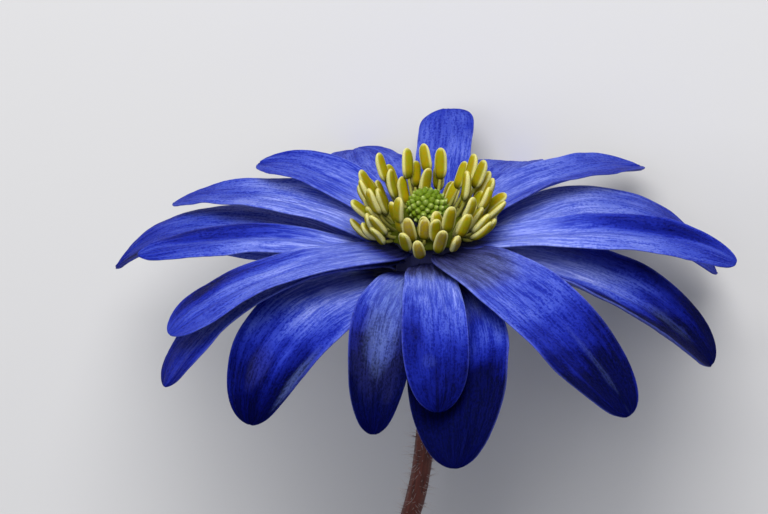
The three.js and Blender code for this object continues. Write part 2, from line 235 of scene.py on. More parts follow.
@dataclass(frozen=True)
class LaidPose:
    """How the cut flower lies: on the tips of two back tepals and the rim of its cut end.

    Attributes:
        own_turn: Turn about the flower's own axis, in degrees.
        stem_slope: Slope of the axis above the table, in degrees.
        place: Where the flower's origin lies, in millimetres.
    """

    own_turn: float = 9.94
    stem_slope: float = 16.91
    place: tuple[float, float, float] = (1.2, 25.6, 18.647)

    def rotation(self) -> Array:
        """The turn from the flower's frame to the solids' frame: own turn about Z, then the slope about X."""
        lean = Matrix.Rotation(math.radians(self.stem_slope - 90.0), 3, "X")
        return np.array(lean @ Matrix.Rotation(math.radians(self.own_turn), 3, "Z"))

    def laid(self, points: Array) -> Array:
        """Points of the flower's frame, in metres in the solids' frame: rotation times point, plus place."""
        return (points @ self.rotation().T + np.array(self.place)) * METRES


POSE = LaidPose()


def make_piece(
    name: str, skin: Skin, material: bpy.types.Material, nodes: tuple[str, ...] = ()
) -> bpy.types.Object:
    """Puts a skin into the scene as one finished piece that rides on the flower.

    What would reach through the surface that the flower lies on is pressed flat against it.

    Args:
        name: The piece's name.
        skin: Its surface in the flower's frame.
        material: Its finish.
        nodes: The solids that the piece stands for.

    Returns:
        The new object, at the origin and unturned.
    """
    points = POSE.laid(skin.points)
    points[:, 2] = np.maximum(points[:, 2], 0.0)
    mesh = bpy.data.meshes.new(name)
    mesh.from_pydata(points, [], skin.quads.tolist() + skin.fans.tolist())
    corners = np.zeros(len(mesh.loops), dtype=np.int64)
    mesh.loops.foreach_get("vertex_index", corners)
    mesh.uv_layers.new(name=RUN).data.foreach_set("uv", skin.run[corners].ravel())
    tone = mesh.attributes.new(name=TONE, type="FLOAT_COLOR", domain="POINT")
    tone.data.foreach_set("color", np.clip(skin.tone, 0.0, 1.0).ravel())
    side = mesh.attributes.new(name=SIDE, type="FLOAT", domain="POINT")
    side.data.foreach_set("value", skin.side)
    mesh.shade_smooth()
    mesh.materials.append(material)
    mesh.update()
    piece = bpy.data.objects.new(name, mesh)
    bpy.context.scene.collection.objects.link(piece)
    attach(piece, "root")
    if nodes:
        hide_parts(*nodes)
    log.info("%s: %d points", name, len(skin.points))
    return piece


# ---------------------------------------------------------------- finishes


class Shader:
    """Builds the nodes of one procedural material."""

    def __init__(self, name: str) -> None:
        """Starts a material that holds only an output and its shader."""
        self.material = bpy.data.materials.new(name)
        self.material.use_nodes = True
        self.tree = self.material.node_tree
        self.surface = self.tree.nodes["Principled BSDF"]

    def node(
        self, kind: str, inputs: dict[str | int, object] | None = None, **settings: object
    ) -> bpy.types.Node:
        """Adds a node.

        Args:
            kind: The node's Blender type.
            inputs: A value or another node's output for each input that isn't left as it is.
            settings: Values for the node's own properties.

        Returns:
            The node.
        """
        made = self.tree.nodes.new(kind)
        for key, value in settings.items():
            setattr(made, key, value)
        for key, value in (inputs or {}).items():
            self.feed(made.inputs[key], value)
        return made

    def feed(self, socket: bpy.types.NodeSocket, value: object) -> None:
        """Links an output to a socket, or sets the socket's own value."""
        if isinstance(value, bpy.types.NodeSocket):
            self.tree.links.new(value, socket)
        else:
            socket.default_value = value

    def maths(self, operation: str, first: object, second: object) -> bpy.types.NodeSocket:
        """The result of an operation on two numbers, kept between 0 and 1."""
        made = self.node("ShaderNodeMath", {0: first, 1: second}, operation=operation, use_clamp=True)
        return made.outputs[0]

    def times(self, first: object, second: object) -> bpy.types.NodeSocket:
        """The product of two numbers, kept between 0 and 1."""
        return self.maths("MULTIPLY", first, second)

    def plus(self, first: object, second: object) -> bpy.types.NodeSocket:
        """The sum of two numbers, kept between 0 and 1."""
        return self.maths("ADD", first, second)

    def span(
        self, value: object, low: float, high: float, to_low: float = 0.0, to_high: float = 1.0
    ) -> bpy.types.NodeSocket:
        """A number carried smoothly from one span to another, and held at its ends."""
        inputs = {"Value": value, "From Min": low, "From Max": high, "To Min": to_low, "To Max": to_high}
        made = self.node("ShaderNodeMapRange", inputs, interpolation_type="SMOOTHSTEP")
        return made.outputs["Result"]

    def mix(self, share: object, first: object, second: object) -> bpy.types.NodeSocket:
        """The first colour where the share is 0, and the second where it is 1."""
        made = self.node("ShaderNodeMix", data_type="RGBA")
        for index, value in ((0, share), (6, first), (7, second)):
            colour = (*value, 1.0) if isinstance(value, tuple) else value
            self.feed(made.inputs[index], colour)
        return made.outputs[2]

    def ramp(self, value: object, stops: tuple[tuple[float, Colour], ...]) -> bpy.types.NodeSocket:
        """The colour at a number's place between the stops, which are places and colours."""
        made = self.node("ShaderNodeValToRGB", {0: value})
        elements = made.color_ramp.elements
        for index, (place, colour) in enumerate(stops):
            element = elements[index] if index < 2 else elements.new(place)
            element.position, element.color = place, (*colour, 1.0)
        return made.outputs["Color"]

    def run(self) -> tuple[bpy.types.NodeSocket, ...]:
        """Millimetres across and along the piece."""
        place = self.node("ShaderNodeUVMap", uv_map=RUN).outputs["UV"]
        return tuple(self.node("ShaderNodeSeparateXYZ", {0: place}).outputs)

    def noise(
        self, cells: tuple[float, float], detail: float, roughness: float = 0.55
    ) -> bpy.types.NodeSocket:
        """Noise on the piece's run map, with that many cells in a millimetre across and along."""
        run = self.node("ShaderNodeUVMap", uv_map=RUN).outputs["UV"]
        scaled = self.node("ShaderNodeVectorMath", {0: run, 1: (*cells, 0.0)}, operation="MULTIPLY")
        inputs = {"Vector": scaled.outputs[0], "Scale": 1.0, "Detail": detail, "Roughness": roughness}
        return self.node("ShaderNodeTexNoise", inputs, noise_dimensions="2D").outputs["Fac"]

    def grain(self, cells: float, detail: float) -> bpy.types.NodeSocket:
        """Noise on object coordinates, with that many cells in a millimetre."""
        place = self.node("ShaderNodeTexCoord").outputs["Object"]
        inputs = {"Vector": place, "Scale": cells / METRES, "Detail": detail}
        return self.node("ShaderNodeTexNoise", inputs).outputs["Fac"]

    def tone(self) -> tuple[bpy.types.NodeSocket, ...]:
        """The four shares of the tone attribute."""
        read = self.node("ShaderNodeAttribute", attribute_name=TONE)
        parts = self.node("ShaderNodeSeparateColor", {"Color": read.outputs["Color"]})
        return (*parts.outputs, read.outputs["Alpha"])

    def relief(self, height: bpy.types.NodeSocket, depth: float, strength: float) -> None:
        """Gives the surface a fine relief of that depth in millimetres."""
        inputs = {"Height": height, "Distance": depth * METRES, "Strength": strength}
        self.feed(self.surface.inputs["Normal"], self.node("ShaderNodeBump", inputs).outputs["Normal"])

    def finish(self, colour: object, roughness: object, values: dict[str, object]) -> bpy.types.Material:
        """Feeds the shader and returns the material.

        Args:
            colour: The base colour, or the output that gives it.
            roughness: The roughness, or the output that gives it.
            values: Values that are the same all over, by the name of the shader's input.

        Returns:
            The finished material.
        """
        self.feed(self.surface.inputs["Base Color"], colour)
        self.feed(self.surface.inputs["Roughness"], roughness)
        for name, value in values.items():
            self.surface.inputs[name].default_value = value
        return self.material


def flesh_values(specular: float, glow: float, spread: Colour) -> dict[str, object]:
    """The shader's values for soft flesh that light spreads in.

    Args:
        specular: Strength of its gloss.
        glow: Share of the light that spreads in it.
        spread: How far red, green and blue do, as shares of GLOW_REACH.

    Returns:
        The values by the names of the shader's inputs.
    """
    return {
        "Specular IOR Level": specular,
        "Subsurface Weight": glow,
        "Subsurface Radius": spread,
        "Subsurface Scale": GLOW_REACH * METRES,
    }


@dataclass(frozen=True)
class TepalFinish:
    """Velvety blue-violet with fine streaks along it. The tone holds deep blue that is partly painted shade,
    greyish purple that is painted shade at the feet, lavender with painted highlights, and painted sheen.

    Attributes:
        blues: Places and colours from the palest blue at 0 to the deepest at 1.
        dull_and_shade: Greyish purple of bruises, and of the feet, where it is painted shade under the crown.
        dusk: Of the dark streaks in them, which deepen the painted shade of the feet.
        pale: Lavender of the feet, and a painted highlight along the rims and in a band on one tepal.
        painted_sheen: Of the painted sheen along some ridges.
        underside: Of the lower face.
    """

    blues: tuple[tuple[float, Colour], ...] = (
        (0.0, (0.32, 0.37, 0.82)),
        (1.0, (0.0001, 0.0002, 0.02)),
        (0.1, (0.2, 0.25, 0.7)),
        (0.2, (0.13, 0.175, 0.6)),
        (0.32, (0.075, 0.11, 0.53)),
        (0.44, (0.042, 0.07, 0.45)),
        (0.55, (0.019, 0.035, 0.37)),
        (0.68, (0.0075, 0.015, 0.26)),
        (0.8, (0.003, 0.0065, 0.16)),
        (0.92, (0.0006, 0.0012, 0.07)),
    )
    dull_and_shade: Colour = (0.045, 0.05, 0.19)
    dusk: Colour = (0.012, 0.012, 0.05)
    pale: Colour = (0.2, 0.25, 0.66)
    painted_sheen: Colour = (0.14, 0.2, 0.5)
    underside: Colour = (0.06, 0.08, 0.42)

    def material(self) -> bpy.types.Material:
        """The tone and fine streaks, dashes and pebbles choose a blue, which deepens partly as painted shade,
        and the tone paints the rest.
        """
        shader = Shader("tepal_velvet")
        # Shares: deep blue, partly painted shade; greyish purple, painted shade at the feet; lavender and
        # painted highlights; painted sheen.
        deep, dull_and_shade, pale, painted_sheen = shader.tone()
        streaks = shader.span(shader.noise((4.8, 0.35), 6.0, 0.68), 0.3, 0.7)
        dashes = shader.span(shader.noise((11.0, 2.4), 3.0, 0.6), 0.32, 0.68)
        pebbles = shader.span(shader.noise((5.5, 4.2), 3.0, 0.6), 0.34, 0.68)
        outer = shader.span(shader.run()[1], 6.0, 13.0)
        light = shader.plus(shader.times(streaks, 0.48), shader.times(dashes, 0.17))
        light = shader.plus(light, shader.times(shader.times(pebbles, outer), 0.35))
        dark = shader.times(shader.span(light, 0.1, 0.8, 0.28, -0.16), shader.span(deep, 0.2, 1.0, 1.0, 0.35))
        # The deep share is partly the tepal's own deeper blue and partly painted shade on the tips, the feet
        # and under neighbours.
        face = shader.ramp(shader.plus(shader.times(deep, 0.96), dark), self.blues)
        back = shader.mix(shader.times(streaks, 0.25), self.underside, self.pale)
        side = shader.node("ShaderNodeAttribute", attribute_name=SIDE).outputs["Fac"]
        colour = shader.mix(side, face, back)
        # Greyish purple with dark streaks: painted shade at the feet under the crown, and bruises.
        foot = shader.mix(shader.span(light, 0.1, 0.7), self.dusk, self.dull_and_shade)
        colour = shader.mix(dull_and_shade, colour, foot)
        # Lavender at the feet, and painted highlight along the rims and in the pale marks.
        colour = shader.mix(shader.times(pale, shader.span(dashes, 0.0, 1.0, 0.5, 1.0)), colour, self.pale)
        # Painted sheen: a paler blue laid along some ridges.
        painted_sheen_share = shader.times(painted_sheen, shader.span(light, 0.1, 0.7, 0.3, 1.0))
        colour = shader.mix(painted_sheen_share, colour, self.painted_sheen)
        shader.relief(light, 0.08, 0.7)
        values = flesh_values(0.12, 0.15, (0.12, 0.15, 1.0)) | {"Specular Tint": (0.2, 0.3, 1.0, 1.0)}
        return shader.finish(colour, shader.span(light, 0.2, 0.8, 0.62, 0.5), values)


@dataclass(frozen=True)
class StamenFinish:
    """Pollen yellow with pale rims. The tone holds rim, green, blush and shade."""

    yellow: Colour = (0.34, 0.24, 0.001)
    lemon: Colour = (0.3, 0.29, 0.001)
    rim: Colour = (0.72, 0.7, 0.3)
    green: Colour = (0.12, 0.16, 0.002)
    blush: Colour = (0.26, 0.15, 0.06)
    shade: Colour = (0.02, 0.027, 0.001)

    def material(self) -> bpy.types.Material:
        """Mottled yellow, painted by the tone, with a grain of pollen."""
        shader = Shader("stamen_pollen")
        rim, green, blush, shade = shader.tone()
        mottling = shader.grain(3.0, 3.0)
        pollen = shader.grain(22.0, 2.0)
        colour = shader.mix(shader.span(mottling, 0.38, 0.62), self.yellow, self.lemon)
        colour = shader.mix(green, colour, self.green)
        colour = shader.mix(shader.times(blush, shader.span(mottling, 0.35, 0.6)), colour, self.blush)
        colour = shader.mix(shader.times(rim, shader.span(pollen, 0.3, 0.6, 0.5, 1.0)), colour, self.rim)
        colour = shader.mix(shade, colour, self.shade)
        shader.relief(pollen, 0.03, 0.6)
        roughness = shader.span(pollen, 0.3, 0.7, 0.5, 0.75)
        return shader.finish(colour, roughness, flesh_values(0.06, 0.18, (1.0, 0.8, 0.15)))


@dataclass(frozen=True)
class CarpelFinish:
    """Fresh green with pale tips and painted shade in the gaps. The tone holds tip, gap, light and nothing.
    """

    green: Colour = (0.085, 0.15, 0.004)
    light: Colour = (0.17, 0.25, 0.008)
    # Painted shade: the dark green in the gaps between the carpels.
    gap: Colour = (0.04, 0.08, 0.002)
    tip: Colour = (0.42, 0.5, 0.16)

    def material(self) -> bpy.types.Material:
        """Two greens blended by the tone and a fine mottling, with painted shade in the gaps and pale at the
        tips.
        """
        shader = Shader("carpel_green")
        tip, gap, light, _ = shader.tone()
        mottling = shader.grain(9.0, 2.0)
        share = shader.times(light, shader.span(mottling, 0.3, 0.65, 0.4, 1.0))
        colour = shader.mix(share, self.green, self.light)
        # Painted shade in the gaps between the carpels.
        colour = shader.mix(gap, colour, self.gap)
        colour = shader.mix(tip, colour, self.tip)
        shader.relief(mottling, 0.02, 0.4)
        roughness = shader.span(mottling, 0.3, 0.7, 0.38, 0.55)
        return shader.finish(colour, roughness, flesh_values(0.12, 0.15, (0.4, 1.0, 0.1)))


@dataclass(frozen=True)
class StemFinish:
    """Dark reddish brown, violet among the tepals. The tone holds violet, flesh, light and nothing."""

    brown: Colour = (0.06, 0.015, 0.011)
    red: Colour = (0.14, 0.034, 0.022)
    violet: Colour = (0.03, 0.032, 0.12)
    flesh: Colour = (0.5, 0.52, 0.3)

    def material(self) -> bpy.types.Material:
        """Streaks along the stem blend brown and red, and the tone paints the receptacle and the cut."""
        shader = Shader("stem_skin")
        violet, flesh, light, _ = shader.tone()
        streaks = shader.span(shader.noise((5.0, 0.5), 4.0), 0.36, 0.64)
        mottling = shader.grain(4.0, 3.0)
        colour = shader.mix(streaks, self.brown, self.red)
        colour = shader.mix(shader.times(light, 0.5), colour, self.red)
        colour = shader.mix(violet, colour, self.violet)
        colour = shader.mix(flesh, colour, self.flesh)
        shader.relief(shader.plus(shader.times(streaks, 0.6), shader.times(mottling, 0.4)), 0.05, 0.6)
        roughness = shader.span(mottling, 0.3, 0.7, 0.45, 0.65)
        return shader.finish(colour, roughness, flesh_values(0.4, 0.06, (1.0, 0.4, 0.2)))


@dataclass(frozen=True)
class HairFinish:
    """Silky white."""

    white: Colour = (0.72, 0.66, 0.62)
    root: Colour = (0.36, 0.2, 0.17)

    def material(self) -> bpy.types.Material:
        """White at the tips and tinged by the stem at the roots, as the tone says."""
        shader = Shader("stem_hair")
        at_tip = shader.tone()[0]
        colour = shader.mix(at_tip, self.root, self.white)
        return shader.finish(colour, 0.45, {"Specular IOR Level": 0.4, "Sheen Weight": 0.1})


@dataclass(frozen=True)
class FloorFinish:
    """A plain pale table top."""

    pale: Colour = (0.62, 0.62, 0.63)

    def material(self) -> bpy.types.Material:
        """One matt colour."""
        return Shader("pale_table").finish((*self.pale, 1.0), 0.85, {"Specular IOR Level": 0.1})


# ---------------------------------------------------------------- tepals


class Tone(Enum):
    """The channels of a tepal's tone: deep blue, partly painted shade; greyish purple, painted shade at the
    feet; lavender and painted highlights; painted sheen.
    """

    DEEP_AND_SHADE = 0
    DULL_AND_SHADE = 1
    PALE_AND_HIGHLIGHT = 2
    PAINTED_SHEEN = 3


@dataclass(frozen=True)
class Fold:
    """A ridge, or a channel if its height is below 0, that runs along a tepal.

    Attributes:
        across: Where it runs.
        half_width: Distance across at which it has fallen to a third.
        height: In millimetres.
        start: Where it starts, along.
        end: Where it ends, along.
    """

    across: float
    half_width: float
    height: float
    start: float
    end: float

    def relief(self, along: Array, across: Array) -> Array:
        """Height times exp(-(distance / half width)²), faded in and out along the tepal."""
        distance = (across - self.across) / self.half_width
        return self.height * np.exp(-distance * distance) * window(self.start, self.end, 0.08, along)


@dataclass(frozen=True)
class Mark:
    """A patch of another tone on a tepal.

    Attributes:
        tone: Which tone it adds.
        along: Place of its middle along the tepal.
        across: Place of its middle across it.
        half_length: Half its length, as a share of the tepal's.
        half_width: Half its width, as a share of half the tepal's.
        strength: Share of the tone at its middle.
        ragged: How far noise breaks its edge up, from 0 to 1.
    """

    tone: Tone
    along: float
    across: float
    half_length: float
    half_width: float
    strength: float
    ragged: float = 0.5

    def share(self, along: Array, across: Array, noise: Array) -> Array:
        """Strength inside an ellipse, fading over its edge, which the noise moves in and out."""
        lengthways = (along - self.along) / self.half_length
        sideways = (across - self.across) / self.half_width
        reach = (lengthways**2 + sideways**2) * np.maximum(0.4, 1.0 + self.ragged * noise)
        return self.strength * (1.0 - smoothstep(0.0, 1.5, reach))


@dataclass(frozen=True)
class Tepal:
    """One petal-like tepal.

    Attributes:
        direction: Bearing of the foot, in degrees.
        sweep: How far the bearing turns towards the tip, in degrees.
        length: From foot to tip, in millimetres.
        width: Full width, in millimetres.
        widest: Place of the full width, along.
        root: Height of the foot, in millimetres.
        rise: Slope at the foot, in degrees.
        droop: Slope lost towards the tip, in degrees.
        onset: Exponent by which the droop sets in.
        roll: Twist about the midrib, in degrees.
        cup: Half the angle of the channelled section, in radians.
        tip: Exponent of the outline from the widest place to the tip.
        blue: How deep its blue is up to the fade and at its end: 0 is the palest, 1 the deepest. The
            deepening is partly the tepal's own colour and partly painted shade, most on the tepals that droop
            to the front.
        fade: Where the blue starts to deepen and where it ends, along.
        folds: Its ridges and channels.
        marks: Its patches: bruises, painted shade, painted sheen and painted light.
    """

    direction: float
    sweep: float
    length: float
    width: float
    widest: float
    root: float
    rise: float
    droop: float
    onset: float
    roll: float
    cup: float
    tip: float = 2.2
    blue: tuple[float, float] = (0.05, 0.55)
    fade: tuple[float, float] = (0.3, 1.0)
    folds: tuple[Fold, ...] = ()
    marks: tuple[Mark, ...] = ()

    def half_width(self, along: Array) -> Array:
        """Half the width in millimetres.

        Up to the widest place it is claw + (1 - claw) * sin(quarter turn * share)^swell of the full
        one, and past it sqrt(1 - share^tip), where share runs from 0 to 1 over each stretch.
        """
        before = np.clip(along / self.widest, 0.0, 1.0)
        swelling = CLAW_SHARE + (1.0 - CLAW_SHARE) * np.sin(np.pi / 2.0 * before) ** CLAW_SWELL
        past = np.clip((along - self.widest) / (1.0 - self.widest), 0.0, 1.0)
        closing = np.sqrt(1.0 - past**self.tip)
        return self.width / 2.0 * np.where(along < self.widest, swelling, closing)

    def directions(self, along: Array) -> tuple[Array, Array, Array]:
        """Unit vectors forward, to the side and up from the face at each place along."""
        share = np.clip(along, 0.0, 1.0)
        pitch = np.radians(self.rise - self.droop * share**self.onset)
        bearing = np.radians(self.direction + self.sweep * share)
        forward = np.stack(
            [np.cos(pitch) * np.cos(bearing), np.cos(pitch) * np.sin(bearing), np.sin(pitch)], axis=-1
        )
        level = np.stack([-np.sin(bearing), np.cos(bearing), 0.0 * bearing], axis=-1)
        over = np.cross(forward, level)
        twist = (np.radians(self.roll) * np.sin(np.pi / 2.0 * share))[:, None]
        side = level * np.cos(twist) + over * np.sin(twist)
        return forward, side, np.cross(forward, side)

    def midrib(self, along: Array) -> Array:
        """The foot plus the sum of forward times length, carried straight on where along is below 0."""
        fine = np.linspace(0.0, 1.0, MIDRIB_STEPS + 1)
        forward = self.directions(fine)[0]
        steps = (forward[1:] + forward[:-1]) / 2.0 * (self.length / MIDRIB_STEPS)
        sums = np.concatenate([np.zeros((1, 3)), np.cumsum(steps, axis=0)])
        run = np.stack([np.interp(along, fine, sums[:, axis]) for axis in range(3)], axis=-1)
        inside = np.minimum(along, 0.0)[:, None] * self.length * forward[0]
        return around(self.direction, CLAW_RADIUS, self.root) + run + inside


@dataclass(frozen=True)
class Ripple:
    """One kind of unevenness of the tepals, made of noise.

    Attributes:
        height: In millimetres.
        cells: Size of the noise's cells across and along, in millimetres.
        seed: What it adds to the tepal's own seed.
        layers: Of noise.
        growth: Where it starts and where it has grown to its height, along.
    """

    height: float
    cells: tuple[float, float]
    seed: float
    layers: int = 3
    growth: tuple[float, float] = (-2.0, -1.0)

    def relief(self, tepal: Tepal, seed: float, along: Array, across: Array) -> Array:
        """Height times noise, grown in along the tepal."""
        x, y = across * tepal.width / 2.0, along * tepal.length
        noise = layered_noise(x / self.cells[0], y / self.cells[1], seed + self.seed, self.layers)
        return self.height * noise * smoothstep(*self.growth, along)


@dataclass(frozen=True)
class Blade:
    """How the blade of every tepal is made and painted.

    Attributes:
        ripples: Streaks and fine lines along the tepals, crinkles towards their tips and broad swells.
        thickness: At the midrib, in millimetres.
        rim_thickness: At the rims, in millimetres.
        inside: How far the foot reaches into the receptacle, in millimetres.
        foot_share: How much wider than its solid the foot is, as a share of it.
        foot_end: Where the foot has narrowed to the solid's width, along.
        tip_end: Where the last row lies, along, just short of the tip.
        rows: Points along the blade.
        columns: Points across each face.
        rim_points: Points round each rim.
    """

    ripples: tuple[Ripple, ...] = (
        Ripple(0.04, (0.6, 6.0), 0.0),
        Ripple(0.016, (0.22, 2.4), 5.0, layers=2),
        Ripple(0.03, (0.9, 1.1), 9.0, growth=(0.3, 0.9)),
        Ripple(0.11, (2.6, 3.6), 13.0, layers=2, growth=(0.1, 0.4)),
    )
    thickness: float = 0.36
    rim_thickness: float = 0.17
    inside: float = 0.55
    foot_share: float = 0.3
    foot_end: float = 0.3
    tip_end: float = 0.9988
    rows: int = 130
    columns: int = 57
    rim_points: int = 3

    def section(self) -> tuple[Array, Array, Array]:
        """The loop of points round the blade, from the left-hand rim over the upper face and back below.

        Returns:
            The place across of each point, its depth as a share of the thickness and how far it
            stands out past the rim as a share of half the thickness.
        """
        face = np.linspace(1.0, -1.0, self.columns)
        turn = np.linspace(0.0, np.pi, self.rim_points + 2)[1:-1]
        rim_depth, rim_out = (1.0 - np.cos(turn)) / 2.0, np.sin(turn)
        rim = np.ones(self.rim_points)
        across = np.concatenate([face, -rim, -face, rim])
        depth = np.concatenate([0.0 * face, rim_depth, 0.0 * face + 1.0, rim_depth[::-1]])
        out = np.concatenate([0.0 * face, rim_out, 0.0 * face, rim_out[::-1]])
        return across, depth, out

    def relief(self, tepal: Tepal, seed: float, along: Array, across: Array) -> Array:
        """Height of the surface over the tepal's smooth form, in millimetres.

        It is the sum of the ripples, waves of 0.15 mm at the rims, which noise moves up and down
        about every 4 mm, a groove 0.06 mm deep along the midrib and the tepal's own folds.
        """
        ripples = sum(ripple.relief(tepal, seed, along, across) for ripple in self.ripples)
        rim_noise = layered_noise(
            along * tepal.length / 4.2 + 50.0 * np.sign(across), 0.0 * across, seed + 11.0, 2
        )
        waves = 0.15 * np.abs(across) ** 3 * rim_noise * window(0.3, 0.9, 0.15, along)
        groove = -0.06 * np.exp(-((across / 0.11) ** 2)) * window(0.05, 0.75, 0.1, along)
        return ripples + waves + groove + sum(fold.relief(along, across) for fold in tepal.folds)

    def tone(self, tepal: Tepal, seed: float, along: Array, across: Array) -> Array:
        """Its shares: blue that deepens to the tip, partly as painted shade, a greyish foot that is painted
        shade under the crown, a pale foot, a painted highlight along the rims, and its marks.

        Args:
            tepal: The tepal.
            seed: Picks its noises.
            along: Places along it.
            across: Places across it.

        Returns:
            The four shares of each place, in the order of Tone.
        """
        x, y = across * tepal.width / 2.0, along * tepal.length
        streaks = layered_noise(x / 0.35, y / 3.2, seed + 21.0)
        patches = layered_noise(x / 1.3, y / 1.6, seed + 23.0)
        start, end = tepal.blue
        deepened = smoothstep(*tepal.fade, along + 0.02 * patches)
        bands = layered_noise(x / 0.6, y / 7.0, seed + 25.0)
        # Painted shade darkens the very foot under the crown, and the deepening to the tip is partly painted
        # shade.
        root = 1.0 - smoothstep(0.03, 0.15, along)
        deep = start + (end - start) * deepened + 0.05 * patches + 0.1 * bands + root
        # Greyish purple of the foot: painted shade under the crown.
        dull_and_shade = (0.9 - 0.6 * root) * (1.0 - smoothstep(0.03, 0.21, along + 0.04 * streaks))
        foot = window(0.12, 0.34, 0.08, along) * np.clip(0.45 + 0.4 * streaks, 0.0, 1.0)
        # Painted highlight along the rims.
        rim = smoothstep(0.965, 0.995, np.abs(across)) * smoothstep(0.1, 0.3, along) * (1.0 - deepened)
        tone = toned(patches.shape, deep, dull_and_shade, 0.5 * foot + 0.25 * rim)
        for mark in tepal.marks:
            tone[..., mark.tone.value] += mark.share(along, across, patches + 0.5 * streaks)
        return tone

    def skin(self, tepal: Tepal, seed: float) -> Skin:
        """The closed blade.

        A point is the midrib's, plus side times half width times sin(cup * across) / cup, plus up
        times half width times (1 - cos(cup * across)) / cup, plus the relief less the depth along
        the curved face's normal. The rims stand out by a half circle of the rim's thickness. The
        foot is wider than the tepal's own half width, and noise moves the rims in and out a little.

        Args:
            tepal: The tepal.
            seed: Picks its noises.

        Returns:
            Its skin, from the foot to the tip.
        """
        start = -self.inside / tepal.length
        place = np.linspace(0.0, 1.0, self.rows)
        along = start + (self.tip_end - start) * np.sin(np.pi / 2.0 * place)
        across, depth, out = self.section()
        rows, loop = along[:, None], across[None, :]
        _, side, up = tepal.directions(along)
        uneven = layered_noise(rows * 4.0, 20.0 * np.sign(loop), seed + 31.0, 2)
        spread = 1.0 + self.foot_share * (1.0 - smoothstep(0.0, self.foot_end, rows))
        spread = spread + 0.03 * uneven * loop**2 * smoothstep(0.2, 0.5, rows)
        half = tepal.half_width(along)[:, None] * spread
        cup = tepal.cup or FLAT_CUP
        turn = cup * loop
        thin = 1.0 - 0.65 * smoothstep(0.96, 1.0, rows) - 0.2 * smoothstep(0.2, 0.8, rows)
        body = self.rim_thickness + (self.thickness - self.rim_thickness) * (1.0 - np.abs(loop) ** 3)
        rise = self.relief(tepal, seed, rows, loop) - depth * body * thin
        beyond = np.sign(loop) * out * self.rim_thickness / 2.0 * thin
        sideways = half * np.sin(turn) / cup - np.sin(turn) * rise + np.cos(turn) * beyond
        upwards = half * (1.0 - np.cos(turn)) / cup + np.cos(turn) * rise + np.sin(turn) * beyond
        middle = tepal.midrib(along)[:, None]
        rings = middle + side[:, None] * sideways[..., None] + up[:, None] * upwards[..., None]
        apart = 40.0 * seed  # gives every tepal its own part of the noises
        run = np.stack(np.broadcast_arrays(loop * tepal.width / 2.0 + apart, rows * tepal.length), axis=-1)
        below = np.broadcast_to(depth, rings.shape[:2])
        return Skin.of_tubes(rings[None], self.tone(tepal, seed, rows, loop)[None], run[None], below[None])


